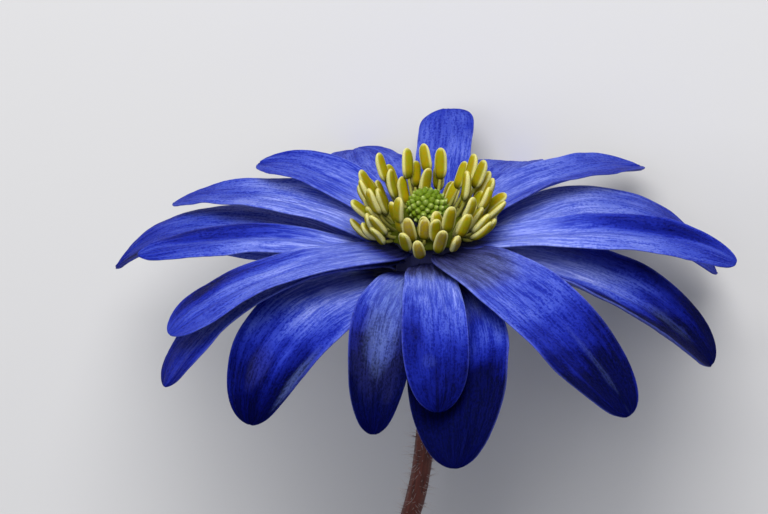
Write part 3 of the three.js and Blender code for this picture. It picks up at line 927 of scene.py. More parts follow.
def _tepals() -> tuple[Tepal, ...]:
    """The tepals, anticlockwise from the right-hand side of the bloom seen from the front. Their deep marks
    are painted shade, the pale mark is a painted band of light, the painted sheen marks are painted
    highlights, and the greyish marks at the feet are painted shade under the crown, while those further out
    are bruises.
    """
    deep, dull_and_shade, pale, painted_sheen = Tone
    return (
        Tepal(349, 12, 20.6, 4.4, 0.65, 0.3, 13, 43, 1.8, 14, 0.2, blue=(0.1, 0.55), fade=(0.25, 1.0),
              folds=(Fold(0.3, 0.3, -0.3, 0.1, 0.85), Fold(-0.45, 0.3, 0.12, 0.1, 0.9)),
              marks=(Mark(deep, 0.62, 0.65, 0.3, 0.5, 0.4, 0.3),)),
        Tepal(29, -14.5, 24.7, 7.2, 0.47, -2.0, 25, 87, 1.3, 17, -0.2, tip=1.8, blue=(0.12, 0.65),
              fade=(0.35, 1.0)),
        Tepal(42, -4, 19.5, 4.2, 0.75, 0.2, 23, 42, 0.8, 0, 0.3, blue=(0.14, 0.5), fade=(0.3, 0.9),
              marks=(Mark(deep, 0.55, -0.8, 0.45, 0.5, 0.3, 0.3),)),
        Tepal(61, 14, 17.5, 5.0, 0.7, -0.7, 14, 46, 1.8, -6, 0.1, blue=(0.25, 0.5)),
        Tepal(82, 6, 15.6, 4.2, 0.8, 0.4, 11, 1, 1.0, -10, 0, tip=4, blue=(0.32, 0.53), fade=(0.5, 1.0)),
        Tepal(110, -12, 18.5, 5.6, 0.65, -0.7, 11, 29, 1.3, -2, 0.2, blue=(0.25, 0.5)),
        Tepal(133, 11, 14.8, 4.6, 0.6, 0.4, 22, 38, 1.1, -6, 0.3, blue=(0.22, 0.53)),
        Tepal(148.5, -2.5, 21.0, 4.6, 0.5, -0.6, 24.2, 52, 0.8, -7, 0.15, blue=(0.05, 0.55), fade=(0.3, 1.0)),
        Tepal(152, 14, 24.7, 8.2, 0.46, -3.1, 11.3, 67.5, 2.4, -7, -0.1, tip=1.4, blue=(0.35, 0.68),
              fade=(0.5, 1.0), marks=(Mark(deep, 0.78, 0.75, 0.2, 0.4, 0.3, 0.3),)),
        Tepal(173, 19, 19.0, 4.2, 0.6, -1.6, 22, 35, 0.8, -7, 0, blue=(0.1, 0.53),
              folds=(Fold(-0.3, 0.3, -0.28, 0.15, 0.85), Fold(0.45, 0.3, 0.1, 0.1, 0.9)),
              marks=(Mark(deep, 0.6, -0.7, 0.3, 0.5, 0.45, 0.3),)),
        Tepal(218, -12, 20.0, 5.6, 0.75, 0.2, 12, 49, 1.8, 7, 0.1, tip=3, blue=(0.15, 0.56), fade=(0.45, 1.0),
              folds=(Fold(-0.35, 0.18, -0.12, 0.35, 0.95), Fold(0.2, 0.12, -0.1, 0.4, 0.98)),
              marks=(Mark(deep, 0.66, -0.8, 0.3, 0.5, 0.45, 0.15),
                     Mark(deep, 0.6, 0.7, 0.35, 0.7, 0.1, 0.3))),
        Tepal(209, 13, 22.0, 4.0, 0.8, -0.6, 10, 68, 1.9, 13, 0, blue=(0.18, 0.78), fade=(0.55, 1.0)),
        Tepal(224, 8.5, 19.6, 6.7, 0.5, -2.0, 11, 100, 2.1, -15, 0, tip=2, blue=(0.08, 1.0), fade=(0.3, 1.0),
              marks=(Mark(deep, 0.6, 0.8, 0.35, 0.4, 0.15, 0.5),
                     Mark(dull_and_shade, 0.78, -0.15, 0.1, 0.35, 0.25, 0.5),
                     Mark(painted_sheen, 0.76, 0.88, 0.16, 0.12, 0.3, 0.3))),
        Tepal(253, 13, 18.8, 4.6, 0.55, -1.3, 14, 88, 1.8, -14, 0.2, blue=(0.12, 1.05), fade=(0.15, 0.86),
              marks=(Mark(painted_sheen, 0.38, 0.0, 0.38, 0.65, 0.6, 0.15),
                     Mark(dull_and_shade, 0.68, 0.0, 0.2, 1.0, 0.2, 0.3))),
        Tepal(272, -1, 17.6, 4.6, 0.7, -0.5, 13, 69, 1.6, -12, 0, blue=(0.16, 0.92), fade=(0.28, 1.0),
              folds=(Fold(0.0, 0.4, -0.22, 0.72, 0.86),),
              marks=(Mark(dull_and_shade, 0.12, 0.0, 0.12, 1.5, 0.7, 0.3),
                     Mark(painted_sheen, 0.78, -0.2, 0.025, 0.25, 0.08, 0.8),
                     Mark(deep, 0.63, -0.8, 0.2, 0.5, 0.2, 0.3))),
        Tepal(284, -23, 20.0, 7.2, 0.6, -2.1, 12, 65, 1.2, 17, 0.2, blue=(0.5, 1.18), fade=(0.42, 0.82)),
        Tepal(303.4, 4, 22.4, 5.9, 0.45, 0.1, 13, 48, 1.0, 16, 0.3, blue=(0.36, 1.03), fade=(0.42, 0.88),
              folds=(Fold(0.12, 0.1, 0.1, 0.6, 0.95), Fold(-0.15, 0.25, -0.15, 0.5, 0.9)),
              marks=(Mark(dull_and_shade, 0.16, -0.2, 0.17, 1.2, 1.0, 0.3),
                     Mark(painted_sheen, 0.78, 0.12, 0.16, 0.06, 0.1, 0.8))),
        Tepal(346.3, -6, 20.7, 6.7, 0.6, -0.9, 10, 56, 1.0, 6, 0.6, blue=(0.06, 1.08), fade=(0.42, 0.9),
              folds=(Fold(-0.15, 0.12, 0.15, 0.5, 0.9),),
              marks=(Mark(painted_sheen, 0.74, 0.12, 0.09, 0.16, 0.16, 0.8),
                     Mark(deep, 0.45, -0.85, 0.45, 0.5, 0.75, 0.3),
                     Mark(deep, 0.4, 1.0, 0.3, 0.55, 0.6, 0.3), Mark(pale, 0.3, 0.3, 0.28, 0.4, 0.3, 0.3))),
    )


@dataclass(frozen=True)
class Bloom:
    """All tepals of the flower.

    Attributes:
        tepals: The tepals in the order of their solids.
        blade: How their blades are made.
        finish: Their finish.
    """

    tepals: tuple[Tepal, ...] = field(default_factory=_tepals)
    blade: Blade = field(default_factory=Blade)
    finish: TepalFinish = field(default_factory=TepalFinish)

    def build(self) -> None:
        """Builds every tepal in place of its solid."""
        velvet = self.finish.material()
        for number, tepal in enumerate(self.tepals, start=1):
            skin = self.blade.skin(tepal, float(number))
            make_piece(f"petal_{number:02d}", skin, velvet, (f"tepal_{number:02d}",))


# ---------------------------------------------------------------- stem and receptacle


@dataclass(frozen=True)
class Stem:
    """The stem with its receptacle and its hairs.

    Attributes:
        line: Points of the middle line, from the cut end up.
        cut_radius: Radius at the cut end, in millimetres.
        profile: Height and radius from the neck up over the receptacle.
        cut_rings: Share of the radius, and of the pale flesh, on the face of the cut end.
        ribs: How many ribs run along it, and how far they turn in a millimetre, in radians.
        rings: Rings along the stem.
        sides: Points round it.
        violet: Heights between which its brown turns to the receptacle's violet.
        hairs: How many hairs it has.
        hair_top: Height of the highest root of a hair.
        hair_length: Least and greatest length of a hair, in millimetres.
        hair_radius: At the root, in millimetres.
    """

    line: tuple[tuple[float, float, float], ...] = (
        (-4.6, 0.6, -62.0), (-5.3, 0.9, -50.0), (-4.4, 0.7, -38.0), (-2.2, 0.3, -27.0),
        (-0.5, 0.0, -20.0), (0.1, 0.0, -14.0), (0.0, 0.0, -7.0), (0.0, 0.0, 2.0),
    )
    cut_radius: float = 0.85
    profile: tuple[tuple[float, float], ...] = (
        (-7.0, 0.7), (-5.4, 0.95), (-4.4, 1.55), (-3.8, 2.15), (-3.2, 2.35),
        (0.25, 2.35), (0.6, 1.9), (0.8, 1.15), (2.0, 1.05),
    )
    cut_rings: tuple[tuple[float, float], ...] = ((0.25, 1.0), (0.55, 0.9), (0.8, 0.65), (0.93, 0.1))
    ribs: tuple[float, float] = (7.0, 0.08)
    rings: int = 420
    sides: int = 48
    violet: tuple[float, float] = (-4.2, -3.2)
    hairs: int = 1500
    hair_top: float = -2.6
    hair_length: tuple[float, float] = (0.35, 1.1)
    hair_radius: float = 0.019

    def middle(self, height: Array) -> Array:
        """Points of the middle line: cubics between its points, with the slopes of their neighbours."""
        points = np.array(self.line)
        knots = points[:, 2]
        slopes = np.gradient(points[:, :2], knots, axis=0)
        segment = np.clip(np.searchsorted(knots, height) - 1, 0, len(knots) - 2)
        gap = (knots[segment + 1] - knots[segment])[:, None]
        share = (height[:, None] - knots[segment][:, None]) / gap
        start, end = points[segment, :2], points[segment + 1, :2]
        level = (
            start * (2 * share**3 - 3 * share**2 + 1)
            + end * (3 * share**2 - 2 * share**3)
            + slopes[segment] * gap * (share**3 - 2 * share**2 + share)
            + slopes[segment + 1] * gap * (share**3 - share**2)
        )
        return np.concatenate([level, height[:, None]], axis=1)

    def radius(self, height: Array) -> Array:
        """Radius at each height: straight from the cut end to the neck, then along the profile, softened."""
        knots = np.array([(self.line[0][2], self.cut_radius), *self.profile])
        near = np.linspace(-0.3, 0.3, 7)
        return np.interp(height[:, None] + near, knots[:, 0], knots[:, 1]).mean(axis=1)

    def frames(self, height: Array) -> tuple[Array, Array, Array]:
        """The middle line's points and the two directions across it at each height."""
        step = 0.05
        tangent = unit(self.middle(height + step) - self.middle(height - step))
        sideways = np.array([1.0, 0.0, 0.0])
        across = unit(sideways - tangent * (tangent @ sideways)[:, None])
        return self.middle(height), across, np.cross(tangent, across)

    def skin(self) -> Skin:
        """The stem: circles round the middle line, with faint ribs and knobbles.

        The first rings lie in the plane of the cut, with growing radii.
        """
        low, high = self.line[0][2], self.line[-1][2]
        cut, flesh_shares = np.array(self.cut_rings).T
        height = np.concatenate([np.full(len(cut), low + 0.02), np.linspace(low + 0.05, high, self.rings)])
        shrink = np.concatenate([cut, np.ones(self.rings)])
        centre, across, along = self.frames(height)
        turn, tall = circle(self.sides)[None, :], height[:, None]
        ridge = np.cos(self.ribs[0] * turn + self.ribs[1] * tall)
        knobbles = layered_noise(3.0 * np.cos(turn) + 9.0, tall / 1.7 + 2.0 * np.sin(turn), 3.0)
        radius = (self.radius(height) * shrink)[:, None] * (1.0 + 0.02 * ridge + 0.03 * knobbles)
        rings = (
            centre[:, None]
            + across[:, None] * (radius * np.cos(turn))[..., None]
            + along[:, None] * (radius * np.sin(turn))[..., None]
        )
        violet = smoothstep(*self.violet, tall)
        pale = np.concatenate([flesh_shares, np.zeros(self.rings)])[:, None]
        tone = toned(radius.shape, violet, pale, 0.5 + 0.5 * ridge)
        run = np.stack(np.broadcast_arrays(turn * self.cut_radius, tall), axis=-1)
        return Skin.of_tubes(rings[None], tone[None], run[None])

    def hair_skin(self) -> Skin:
        """The hairs: three-sided tapering tubes, each bent a little towards the bloom."""
        number = np.arange(self.hairs, dtype=float)
        low, high = self.line[0][2] + 0.5, self.hair_top
        height = low + (high - low) * draw(number, 11) ** 0.8
        centre, across, along = self.frames(height)
        turn = 2.0 * np.pi * draw(number, 12)
        outward = across * np.cos(turn)[:, None] + along * np.sin(turn)[:, None]
        root = centre + outward * (self.radius(height) * 0.97)[:, None]
        least, most = self.hair_length
        length = least + (most - least) * draw(number, 13)
        upward = np.array([0.0, 0.0, 1.0]) * (draw(number, 14) * 1.1 - 0.35)[:, None]
        aside = np.cross(outward, [0.0, 0.0, 1.0]) * (draw(number, 15) - 0.5)[:, None]
        lean = unit(outward + 0.5 * upward + 0.5 * aside)
        bend = 0.35 * upward + 0.5 * aside
        share = np.array([0.0, 0.4, 0.75, 1.0])
        reach = length[:, None] * share
        line = root[:, None] + lean[:, None] * reach[..., None] + bend[:, None] * (reach * share)[..., None]
        first = unit(np.cross(lean, [0.3, 0.5, 0.8]))
        second = np.cross(lean, first)
        corner = circle(3)
        radius = self.hair_radius * (1.0 - 0.8 * share)
        ring = first[:, None] * np.cos(corner)[:, None] + second[:, None] * np.sin(corner)[:, None]
        rings = line[:, :, None] + ring[:, None] * radius[None, :, None, None]
        lowest = POSE.laid(rings)[..., 2].min(axis=(1, 2))
        rings = rings[lowest > 0.05 * METRES]
        return Skin.of_tubes(rings, toned(rings.shape[:3], smoothstep(-0.1, 0.6, share)[:, None]))

    def build(self) -> None:
        """Builds the stem in place of its solid, and its hairs."""
        make_piece("stem_skin", self.skin(), StemFinish().material(), ("stem",))
        make_piece("stem_hairs", self.hair_skin(), HairFinish().material())


# ---------------------------------------------------------------- crown


@dataclass(frozen=True)
class StamenRow:
    """One ring of stamens. Each pair holds for the sides and the back first, and then for the front.

    Attributes:
        count: How many there are.
        foot: Radius and height where their filaments leave the collar.
        radius: Radius where they meet their anthers.
        height: Height there, or None where the anthers lie on the feet of the tepals.
        lean: Of the anthers from the axis, in degrees.
        turn: Bearing of the first one, in degrees.
        bare: Middle and half width of the bearings that the row leaves free.
    """

    count: int
    foot: tuple[float, float]
    radius: tuple[float, float]
    height: tuple[float, float] | None
    lean: tuple[float, float]
    turn: float
    bare: tuple[tuple[float, float], ...] = ()


@dataclass(frozen=True)
class Crown:
    """What stands in the middle of the bloom: the stamens on their collar.

    Attributes:
        tepals: The tepals that the lowest anthers lie over.
        rows: The rings of stamens, from the outside in, with the last one in between.
        collar: Share of the way up the collar's section, radius and height of points on it.
        tilt: How far the crown leans to the front, in degrees.
        pivot: Height that it leans about.
        anther_length: Least and greatest, in millimetres.
        anther_half: Half the width and half the depth of an anther.
        anther_size: Least and greatest share of those.
        anther_twist: The most that an anther turns about itself to either side, in degrees.
        inner_row: The row next to the dome, counted from 0, whose anthers are greener.
        blushed: Middle and half width of the bearings where about half of the anthers blush.
        filament_radius: In millimetres.
        filament_bow: How far a filament's middle stands out, in millimetres.
        filament_end: How far a filament reaches into its anther, as a share of the anther's length.
        loose: The most that a bearing, a lean and a height stray, and the slope of an anther to a side.
        lowest: Tepals with lower feet are not felt by the anthers.
        clearance: From the lowest anthers down to the feet of the tepals.
        anther_mesh: Rings and points round an anther.
        filament_mesh: Rings and points round a filament.
        collar_mesh: Rings and points round the collar.
    """

    tepals: tuple[Tepal, ...]
    rows: tuple[StamenRow, ...] = (
        StamenRow(17, (2.8, 1.25), (3.95, 3.4), None, (44.0, 22.0), 5.0),
        StamenRow(17, (2.7, 1.35), (4.25, 2.9), (2.15, 1.65), (40.0, 8.0), 12.0),
        StamenRow(16, (2.4, 1.45), (4.05, 3.1), (3.3, 2.8), (25.0, 2.0), 4.0, ((60.0, 5.0), (270.0, 20.0))),
        StamenRow(9, (2.1, 1.45), (3.0, 2.4), (2.6, 2.2), (13.0, 4.0), 17.0, ((60.0, 5.0), (270.0, 32.0))),
        StamenRow(13, (2.3, 1.4), (3.4, 2.45), (1.4, 2.0), (32.0, 10.0), 8.0),
    )
    collar: tuple[tuple[float, float, float], ...] = (
        (0.0, 1.5, 1.2), (0.12, 2.85, 0.95), (0.45, 3.15, 1.2), (0.8, 2.85, 1.6), (1.0, 1.5, 1.75),
    )
    tilt: float = 6.0
    pivot: float = 1.3
    anther_length: tuple[float, float] = (1.95, 2.45)
    anther_half: tuple[float, float] = (0.49, 0.34)
    anther_size: tuple[float, float] = (0.92, 1.08)
    anther_twist: float = 26.0
    inner_row: int = 3
    blushed: tuple[float, float] = (280.0, 32.0)
    filament_radius: float = 0.15
    filament_bow: float = 0.16
    filament_end: float = 0.14
    loose: tuple[float, float, float, float] = (8.0, 6.0, 0.28, 0.2)
    lowest: float = -0.55
    clearance: float = 0.2
    anther_mesh: tuple[int, int] = (22, 26)
    filament_mesh: tuple[int, int] = (9, 10)
    collar_mesh: tuple[int, int] = (12, 72)

    def leant(self, points: Array) -> Array:
        """Points turned by the tilt about the level line through the pivot."""
        angle = math.radians(self.tilt)
        up = points[..., 2] - self.pivot
        y = points[..., 1] * math.cos(angle) - up * math.sin(angle)
        z = points[..., 1] * math.sin(angle) + up * math.cos(angle) + self.pivot
        return np.stack([points[..., 0], y, z], axis=-1)

    def resting_height(self, bearing: Array, radius: Array) -> Array:
        """Height at which an anther lies on the feet of the tepals, before the crown leans."""
        half_wide, half_deep = self.anther_half
        top = np.full(len(bearing), self.lowest)
        for tepal in self.tepals:
            turned = np.radians(bearing - tepal.direction)
            past = radius - CLAW_RADIUS
            reach = tepal.half_width(past / tepal.length) + half_wide
            on_foot = (np.cos(turned) >= 0.0) & (np.abs(radius * np.sin(turned)) <= reach)
            height = tepal.root + past * math.tan(math.radians(tepal.rise))
            top = np.where(on_foot, np.maximum(top, height), top)
        forwards = radius * np.sin(np.radians(bearing)) * math.sin(math.radians(self.tilt))
        return top + half_deep + self.clearance - forwards

    def stamens(self) -> dict[str, Array]:
        """Where every stamen stands: its foot, joint, direction, side, length, seed, row and bearing.

        A pair of a row's values is blended by the square of how far the bearing points to the front.
        """
        found: list[dict[str, Array]] = []
        loose_bearing, loose_lean, loose_height, aside = self.loose
        for level, row in enumerate(self.rows):
            index = np.arange(row.count, dtype=float)
            seed = index + 31.0 * level
            bearing = row.turn + 360.0 * index / row.count + loose_bearing * (draw(seed, 1) * 2.0 - 1.0)
            for middle, half_width in row.bare:
                away = np.abs((bearing - middle + 540.0) % 360.0 - 180.0)
                seed, bearing = seed[away > half_width], bearing[away > half_width]
            front = np.maximum(0.0, -np.sin(np.radians(bearing))) ** 2
            radius = row.radius[0] + (row.radius[1] - row.radius[0]) * front
            if row.height is None:
                height = self.resting_height(bearing, radius)
            else:
                height = row.height[0] + (row.height[1] - row.height[0]) * front
                height = height + loose_height * (draw(seed, 2) * 2.0 - 1.0)
            lean = row.lean[0] + (row.lean[1] - row.lean[0]) * front
            lean = np.radians(lean + loose_lean * (draw(seed, 3) * 2.0 - 1.0))
            side = around(bearing + 90.0, np.array(1.0), np.array(0.0))
            direction = around(bearing, np.sin(lean), np.cos(lean))
            direction = unit(direction + side * (aside * (draw(seed, 5) * 2.0 - 1.0))[:, None])
            least, most = self.anther_length
            found.append(
                {
                    "foot": around(bearing, np.array(row.foot[0]), np.array(row.foot[1])),
                    "joint": around(bearing, radius, height),
                    "direction": direction,
                    "side": unit(side - direction * (side * direction).sum(axis=1, keepdims=True)),
                    "length": least + (most - least) * draw(seed, 4),
                    "seed": seed,
                    "row": np.full(len(seed), float(level)),
                    "bearing": bearing,
                }
            )
        return {key: np.concatenate([part[key] for part in found]) for key in found[0]}

    def anthers(self, stamens: dict[str, Array]) -> Skin:
        """The anthers: flat ovals of two pollen sacs, with a groove inside each rim and one between.

        At share t of the length, half the section is (1 - t / 10) * sqrt(1 - |2t - 1|^3.2) of the
        full one. The grooves take up to 0.13 of that. Each anther is twisted and bent a little.
        """
        points, sides = self.anther_mesh
        share = (1.0 - np.cos(np.linspace(0.06, np.pi - 0.06, points))) / 2.0
        turn = circle(sides)
        swell = np.sqrt(1.0 - np.abs(2.0 * share - 1.0) ** 3.2) * (1.0 - 0.1 * share)
        wide = np.abs(np.cos(turn))
        groove = 1.0 - 0.13 * np.exp(-(((wide - 0.74) / 0.1) ** 2)) - 0.06 * np.exp(-((wide / 0.13) ** 2))
        seed = stamens["seed"]
        twist = np.radians(self.anther_twist) * (draw(seed, 5) * 2.0 - 1.0)
        thick = np.cross(stamens["side"], stamens["direction"])
        cosine, sine = np.cos(twist)[:, None], np.sin(twist)[:, None]
        side = stamens["side"] * cosine + thick * sine
        thick = thick * cosine - stamens["side"] * sine
        smallest, largest = self.anther_size
        size = smallest + (largest - smallest) * draw(seed, 6)
        across = (self.anther_half[0] * size)[:, None, None] * swell[:, None] * (np.cos(turn) * groove)
        deep = (self.anther_half[1] * size)[:, None, None] * swell[:, None] * (np.sin(turn) * groove)
        bend = (0.34 * (draw(seed, 7) - 0.62))[:, None] * 4.0 * (share - 0.5) ** 2
        line = (
            stamens["joint"][:, None]
            + stamens["direction"][:, None] * (stamens["length"][:, None] * share)[..., None]
            + thick[:, None] * bend[..., None]
        )
        rings = (
            line[:, :, None]
            - thick[:, None, None] * deep[..., None]
            + side[:, None, None] * across[..., None]
        )
        edge = smoothstep(0.7, 0.94, wide)
        lengthways = share[:, None]
        rim = 0.9 * np.maximum(edge, 0.7 * smoothstep(0.9, 1.0, lengthways))
        inner_row = (stamens["row"] == self.inner_row)[:, None, None]
        green = (0.25 * draw(seed, 8))[:, None, None] + 0.35 * inner_row * (1.0 - lengthways)
        middle, half_width = self.blushed
        in_front = (np.abs(stamens["bearing"] % 360.0 - middle) < half_width) & (draw(seed, 9) > 0.5)
        blush = (0.55 * in_front + 0.12 * draw(seed, 10))[:, None, None]
        blush = blush * smoothstep(0.1, 0.5, lengthways) * (1.0 - edge)
        shade = 0.8 * (1.0 - smoothstep(0.0, 0.34, lengthways))
        return Skin.of_tubes(self.leant(rings), toned(rings.shape[:3], rim, green, blush, shade))

    def filaments(self, stamens: dict[str, Array]) -> Skin:
        """The filaments: round threads from the collar into the anthers, bowed outwards a little."""
        points, sides = self.filament_mesh
        share, turn = np.linspace(0.0, 1.0, points), circle(sides)
        end = stamens["joint"] + stamens["direction"] * (stamens["length"] * self.filament_end)[:, None]
        way = end - stamens["foot"]
        outward = unit(np.cross(stamens["side"], way))
        bow = self.filament_bow * 4.0 * share * (1.0 - share)
        line = stamens["foot"][:, None] + way[:, None] * share[:, None] + outward[:, None] * bow[:, None]
        radius = self.filament_radius * (1.0 - 0.25 * share)
        rings = (
            line[:, :, None]
            - outward[:, None, None] * (radius[:, None] * np.sin(turn))[None, ..., None]
            + stamens["side"][:, None, None] * (radius[:, None] * np.cos(turn))[None, ..., None]
        )
        lengthways = share[:, None]
        tone = toned(rings.shape[:3], 0.25, 0.75 - 0.35 * lengthways, 0.0, 0.5 * (1.0 - lengthways))
        return Skin.of_tubes(self.leant(rings), tone)

    def collar_skin(self) -> Skin:
        """The collar: its section carried round the axis, closed on itself inside the receptacle's rim."""
        points, sides = self.collar_mesh
        turn, place = circle(sides), np.linspace(0.0, 1.0, points)
        share, radii, heights = np.array(self.collar).T
        radius, height = np.interp(place, share, radii), np.interp(place, share, heights)
        knobs = 1.0 + 0.02 * np.cos(31.0 * turn)
        rings = around(np.degrees(turn)[None, :], radius[:, None] * knobs, height[:, None])
        return Skin.of_tubes(self.leant(rings)[None], toned((1, points, sides), 0.0, 0.9, 0.0, 0.75))

    def build(self) -> None:
        """Builds the stamens and their collar in place of their solid."""
        pollen = StamenFinish().material()
        stamens = self.stamens()
        make_piece("anthers", self.anthers(stamens), pollen, ("stamens",))
        threads = Skin.joined([self.filaments(stamens), self.collar_skin()])
        make_piece("filaments", threads, pollen, ("stamens",))


@dataclass(frozen=True)
class CarpelHead:
    """The green dome of carpels.

    Attributes:
        cushion: Radius and height of the cushion's profile, from the bottom up.
        count: How many carpels stand on it.
        lowest: Cosine of the angle from the axis to the lowest carpel.
        golden_angle: Between two carpels of the spiral, in degrees.
        stand: Radius, height and middle height of the round surface that they stand on.
        body: Radius and height of a carpel.
        beak: Radius and height of its pale tip.
        body_rings: Height and radius of each ring of a carpel's body, as shares of the body's.
        beak_rings: The same for its beak, from the top of the body up.
        tints: How pale each of those rings is, and how much of the painted shade of the gaps it shows.
        cushion_mesh: Rings and points round the cushion.
        carpel_sides: Points round a carpel.
    """

    cushion: tuple[tuple[float, float], ...] = (
        (0.0, 2.35), (1.1, 2.35), (1.3, 2.65), (1.34, 2.95),
        (1.22, 3.4), (0.92, 3.85), (0.5, 4.1), (0.0, 4.18),
    )
    count: int = 76
    lowest: float = -0.35
    golden_angle: float = 137.508
    stand: tuple[float, float, float] = (1.24, 1.18, 2.93)
    body: tuple[float, float] = (0.27, 0.3)
    beak: tuple[float, float] = (0.07, 0.07)
    body_rings: tuple[tuple[float, float], ...] = ((-0.45, 0.6), (0.0, 0.98), (0.45, 0.92), (0.8, 0.62))
    beak_rings: tuple[tuple[float, float], ...] = ((0.0, 1.15), (0.5, 1.0), (1.0, 0.45))
    tints: tuple[tuple[float, float], ...] = (
        (0.0, 1.0), (0.0, 0.75), (0.0, 0.2), (0.15, 0.0), (0.75, 0.0), (1.0, 0.0), (1.0, 0.0),
    )
    cushion_mesh: tuple[int, int] = (30, 48)
    carpel_sides: int = 10

    def cushion_skin(self) -> Skin:
        """The cushion: its profile carried round the axis."""
        points, sides = self.cushion_mesh
        profile = np.array(self.cushion)
        run = np.concatenate([[0.0], np.cumsum(np.hypot(*np.diff(profile, axis=0).T))])
        place = np.linspace(0.02, run[-1] - 0.02, points)
        radius, height = np.interp(place, run, profile[:, 0]), np.interp(place, run, profile[:, 1])
        rings = around(np.arange(sides)[None, :] * 360.0 / sides, radius[:, None], height[:, None])
        # The cushion between the carpels takes most of the painted shade of the gaps.
        return Skin.of_tubes(rings[None], toned((1, points, sides), 0.0, 0.8))

    def carpel_skin(self) -> Skin:
        """The carpels: egg shapes set in a spiral, each with a short blunt beak, pointing outwards."""
        number = np.arange(self.count, dtype=float)
        cosine = 1.0 - (1.0 - self.lowest) * (number + 0.5) / self.count
        sine = np.sqrt(1.0 - cosine * cosine)
        outward = around(number * self.golden_angle, sine, cosine)
        radius, height, middle = self.stand
        root = outward * np.array([radius, radius, height]) + np.array([0.0, 0.0, middle])
        stray = np.stack([draw(number, seed) for seed in (21, 22, 23)], axis=-1) - 0.5
        upward = unit(outward + np.array([0.0, 0.0, 0.35]) + 0.12 * stray)
        first = unit(np.cross(upward, [0.31, 0.52, 0.2]))
        second = np.cross(upward, first)
        body_radius, body_height = self.body
        beak_radius, beak_height = self.beak
        body_level, body_girth = np.array(self.body_rings).T
        beak_level, beak_girth = np.array(self.beak_rings).T
        level = np.concatenate([body_level, 1.0 + beak_level * beak_height / body_height])
        girth = np.concatenate([body_girth * body_radius, beak_girth * beak_radius])
        turn = circle(self.carpel_sides)
        size = (0.9 + 0.2 * draw(number, 24))[:, None, None]
        ring = first[:, None] * np.cos(turn)[:, None] + second[:, None] * np.sin(turn)[:, None]
        line = root[:, None] + upward[:, None] * (level * body_height)[:, None] * size
        rings = line[:, :, None] + ring[:, None] * (girth[None, :, None, None] * size[..., None])
        # The lowest rings of each carpel take the painted shade of the gaps.
        pale, gap = np.array(self.tints).T[..., None]
        tip = pale * smoothstep(0.25, 0.9, draw(number, 26))[:, None, None]
        light = (0.35 + 0.65 * draw(number, 25))[:, None, None]
        return Skin.of_tubes(rings, toned(rings.shape[:3], tip, gap, light))

    def build(self, crown: Crown) -> None:
        """Builds the dome, leaning as the crown does, in place of its solid."""
        skin = Skin.joined([self.cushion_skin(), self.carpel_skin()])
        skin.points = crown.leant(skin.points)
        make_piece("carpels", skin, CarpelFinish().material(), ("carpel_head",))


# ---------------------------------------------------------------- studio


@dataclass(frozen=True)
class Lamp:
    """A soft square lamp.

    Attributes:
        name: Its name.
        place: Where it hangs, in millimetres in the flower's frame.
        size: Its side, in millimetres.
        power: In watts.
        colour: Its colour.
    """

    name: str
    place: tuple[float, float, float]
    size: float
    power: float
    colour: Colour

    def build(self) -> None:
        """Hangs the lamp and turns it to the bloom."""
        light = bpy.data.lights.new(self.name, "AREA")
        light.size = self.size * METRES
        light.energy = self.power
        light.color = self.colour
        lamp = bpy.data.objects.new(self.name, light)
        bpy.context.scene.collection.objects.link(lamp)
        place = Vector(POSE.laid(np.array(self.place)))
        bloom = Vector(POSE.laid(np.zeros(3)))
        lamp.location = place
        lamp.rotation_euler = (bloom - place).to_track_quat("-Z", "Y").to_euler()


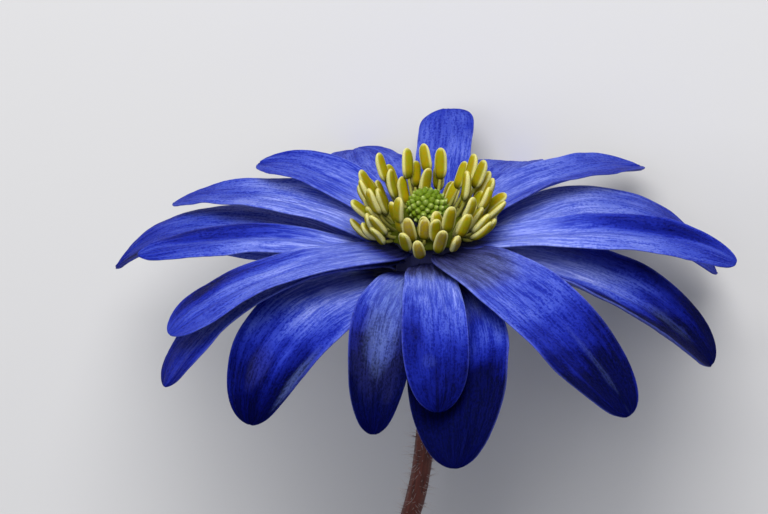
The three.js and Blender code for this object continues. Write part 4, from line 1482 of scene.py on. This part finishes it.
@dataclass(frozen=True)
class Studio:
    """The table, the lamps and the camera.

    Attributes:
        table_size: Side of the table top, in metres.
        lamps: The lamps.
        sky: Colour of the light from all round.
        sky_strength: Its strength.
        elevation: Of the camera above the ring of tepals, in degrees.
        distance: From the camera to the bloom, in millimetres.
        scale: Millimetres at the bloom in one pixel.
        picture: Width and height of the picture, in pixels.
        bloom_pixel: Where the flower's origin shows in the picture.
        sensor: Width of the camera's sensor, in millimetres.
    """

    table_size: float = 3.0
    lamps: tuple[Lamp, ...] = (
        Lamp("key", (-30.0, -170.0, 320.0), 260.0, 1.8, (1.0, 0.985, 0.96)),
        Lamp("fill", (-200.0, -330.0, 120.0), 260.0, 0.4, (0.94, 0.96, 1.0)),
    )
    sky: Colour = (0.9, 0.93, 1.0)
    sky_strength: float = 0.22
    elevation: float = 25.0
    distance: float = 260.0
    scale: float = 0.0736
    picture: tuple[int, int] = (768, 514)
    bloom_pixel: tuple[float, float] = (427.0, 243.0)
    sensor: float = 36.0

    def build_camera(self) -> None:
        """Places the camera in front of the bloom, aimed so that its middle shows at its pixel."""
        angle = math.radians(self.elevation)
        back = np.array([0.0, -math.cos(angle), math.sin(angle)])
        right = np.array([1.0, 0.0, 0.0])
        up = np.cross(back, right)
        across = (self.bloom_pixel[0] - self.picture[0] / 2.0) * self.scale
        down = (self.bloom_pixel[1] - self.picture[1] / 2.0) * self.scale
        place = back * self.distance - right * across + up * down
        turned = POSE.rotation() @ np.stack([right, up, back], axis=1)
        data = bpy.data.cameras.new("camera")
        data.sensor_width = self.sensor
        data.lens = self.distance / (self.scale * self.picture[0]) * self.sensor
        data.clip_start, data.clip_end = 0.01, 20.0
        camera = bpy.data.objects.new("camera", data)
        bpy.context.scene.collection.objects.link(camera)
        camera.matrix_world = Matrix.Translation(POSE.laid(place)) @ Matrix(turned.tolist()).to_4x4()
        bpy.context.scene.camera = camera

    def build_table(self) -> None:
        """Lays the table top at height 0."""
        half = self.table_size / 2.0
        corners = [(-half, -half, 0.0), (half, -half, 0.0), (half, half, 0.0), (-half, half, 0.0)]
        mesh = bpy.data.meshes.new("table_top")
        mesh.from_pydata(corners, [], [(0, 1, 2, 3)])
        mesh.materials.append(FloorFinish().material())
        table = bpy.data.objects.new("table_top", mesh)
        bpy.context.scene.collection.objects.link(table)

    def build(self) -> None:
        """Builds the studio with its soft light."""
        self.build_camera()
        self.build_table()
        for lamp in self.lamps:
            lamp.build()
        world = bpy.data.worlds.new("studio")
        world.use_nodes = True
        background = world.node_tree.nodes["Background"]
        background.inputs["Color"].default_value = (*self.sky, 1.0)
        background.inputs["Strength"].default_value = self.sky_strength
        bpy.context.scene.world = world
        bpy.context.scene.view_settings.view_transform = "Standard"


def main() -> None:
    """Builds the studio, the bloom, the stem, the crown and the dome of carpels."""
    logging.basicConfig(level=logging.INFO, format="%(name)s: %(message)s")
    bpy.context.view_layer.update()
    Studio().build()
    bloom = Bloom()
    bloom.build()
    Stem().build()
    crown = Crown(bloom.tepals)
    crown.build()
    CarpelHead().build(crown)


if __name__ == "__main__":
    main()
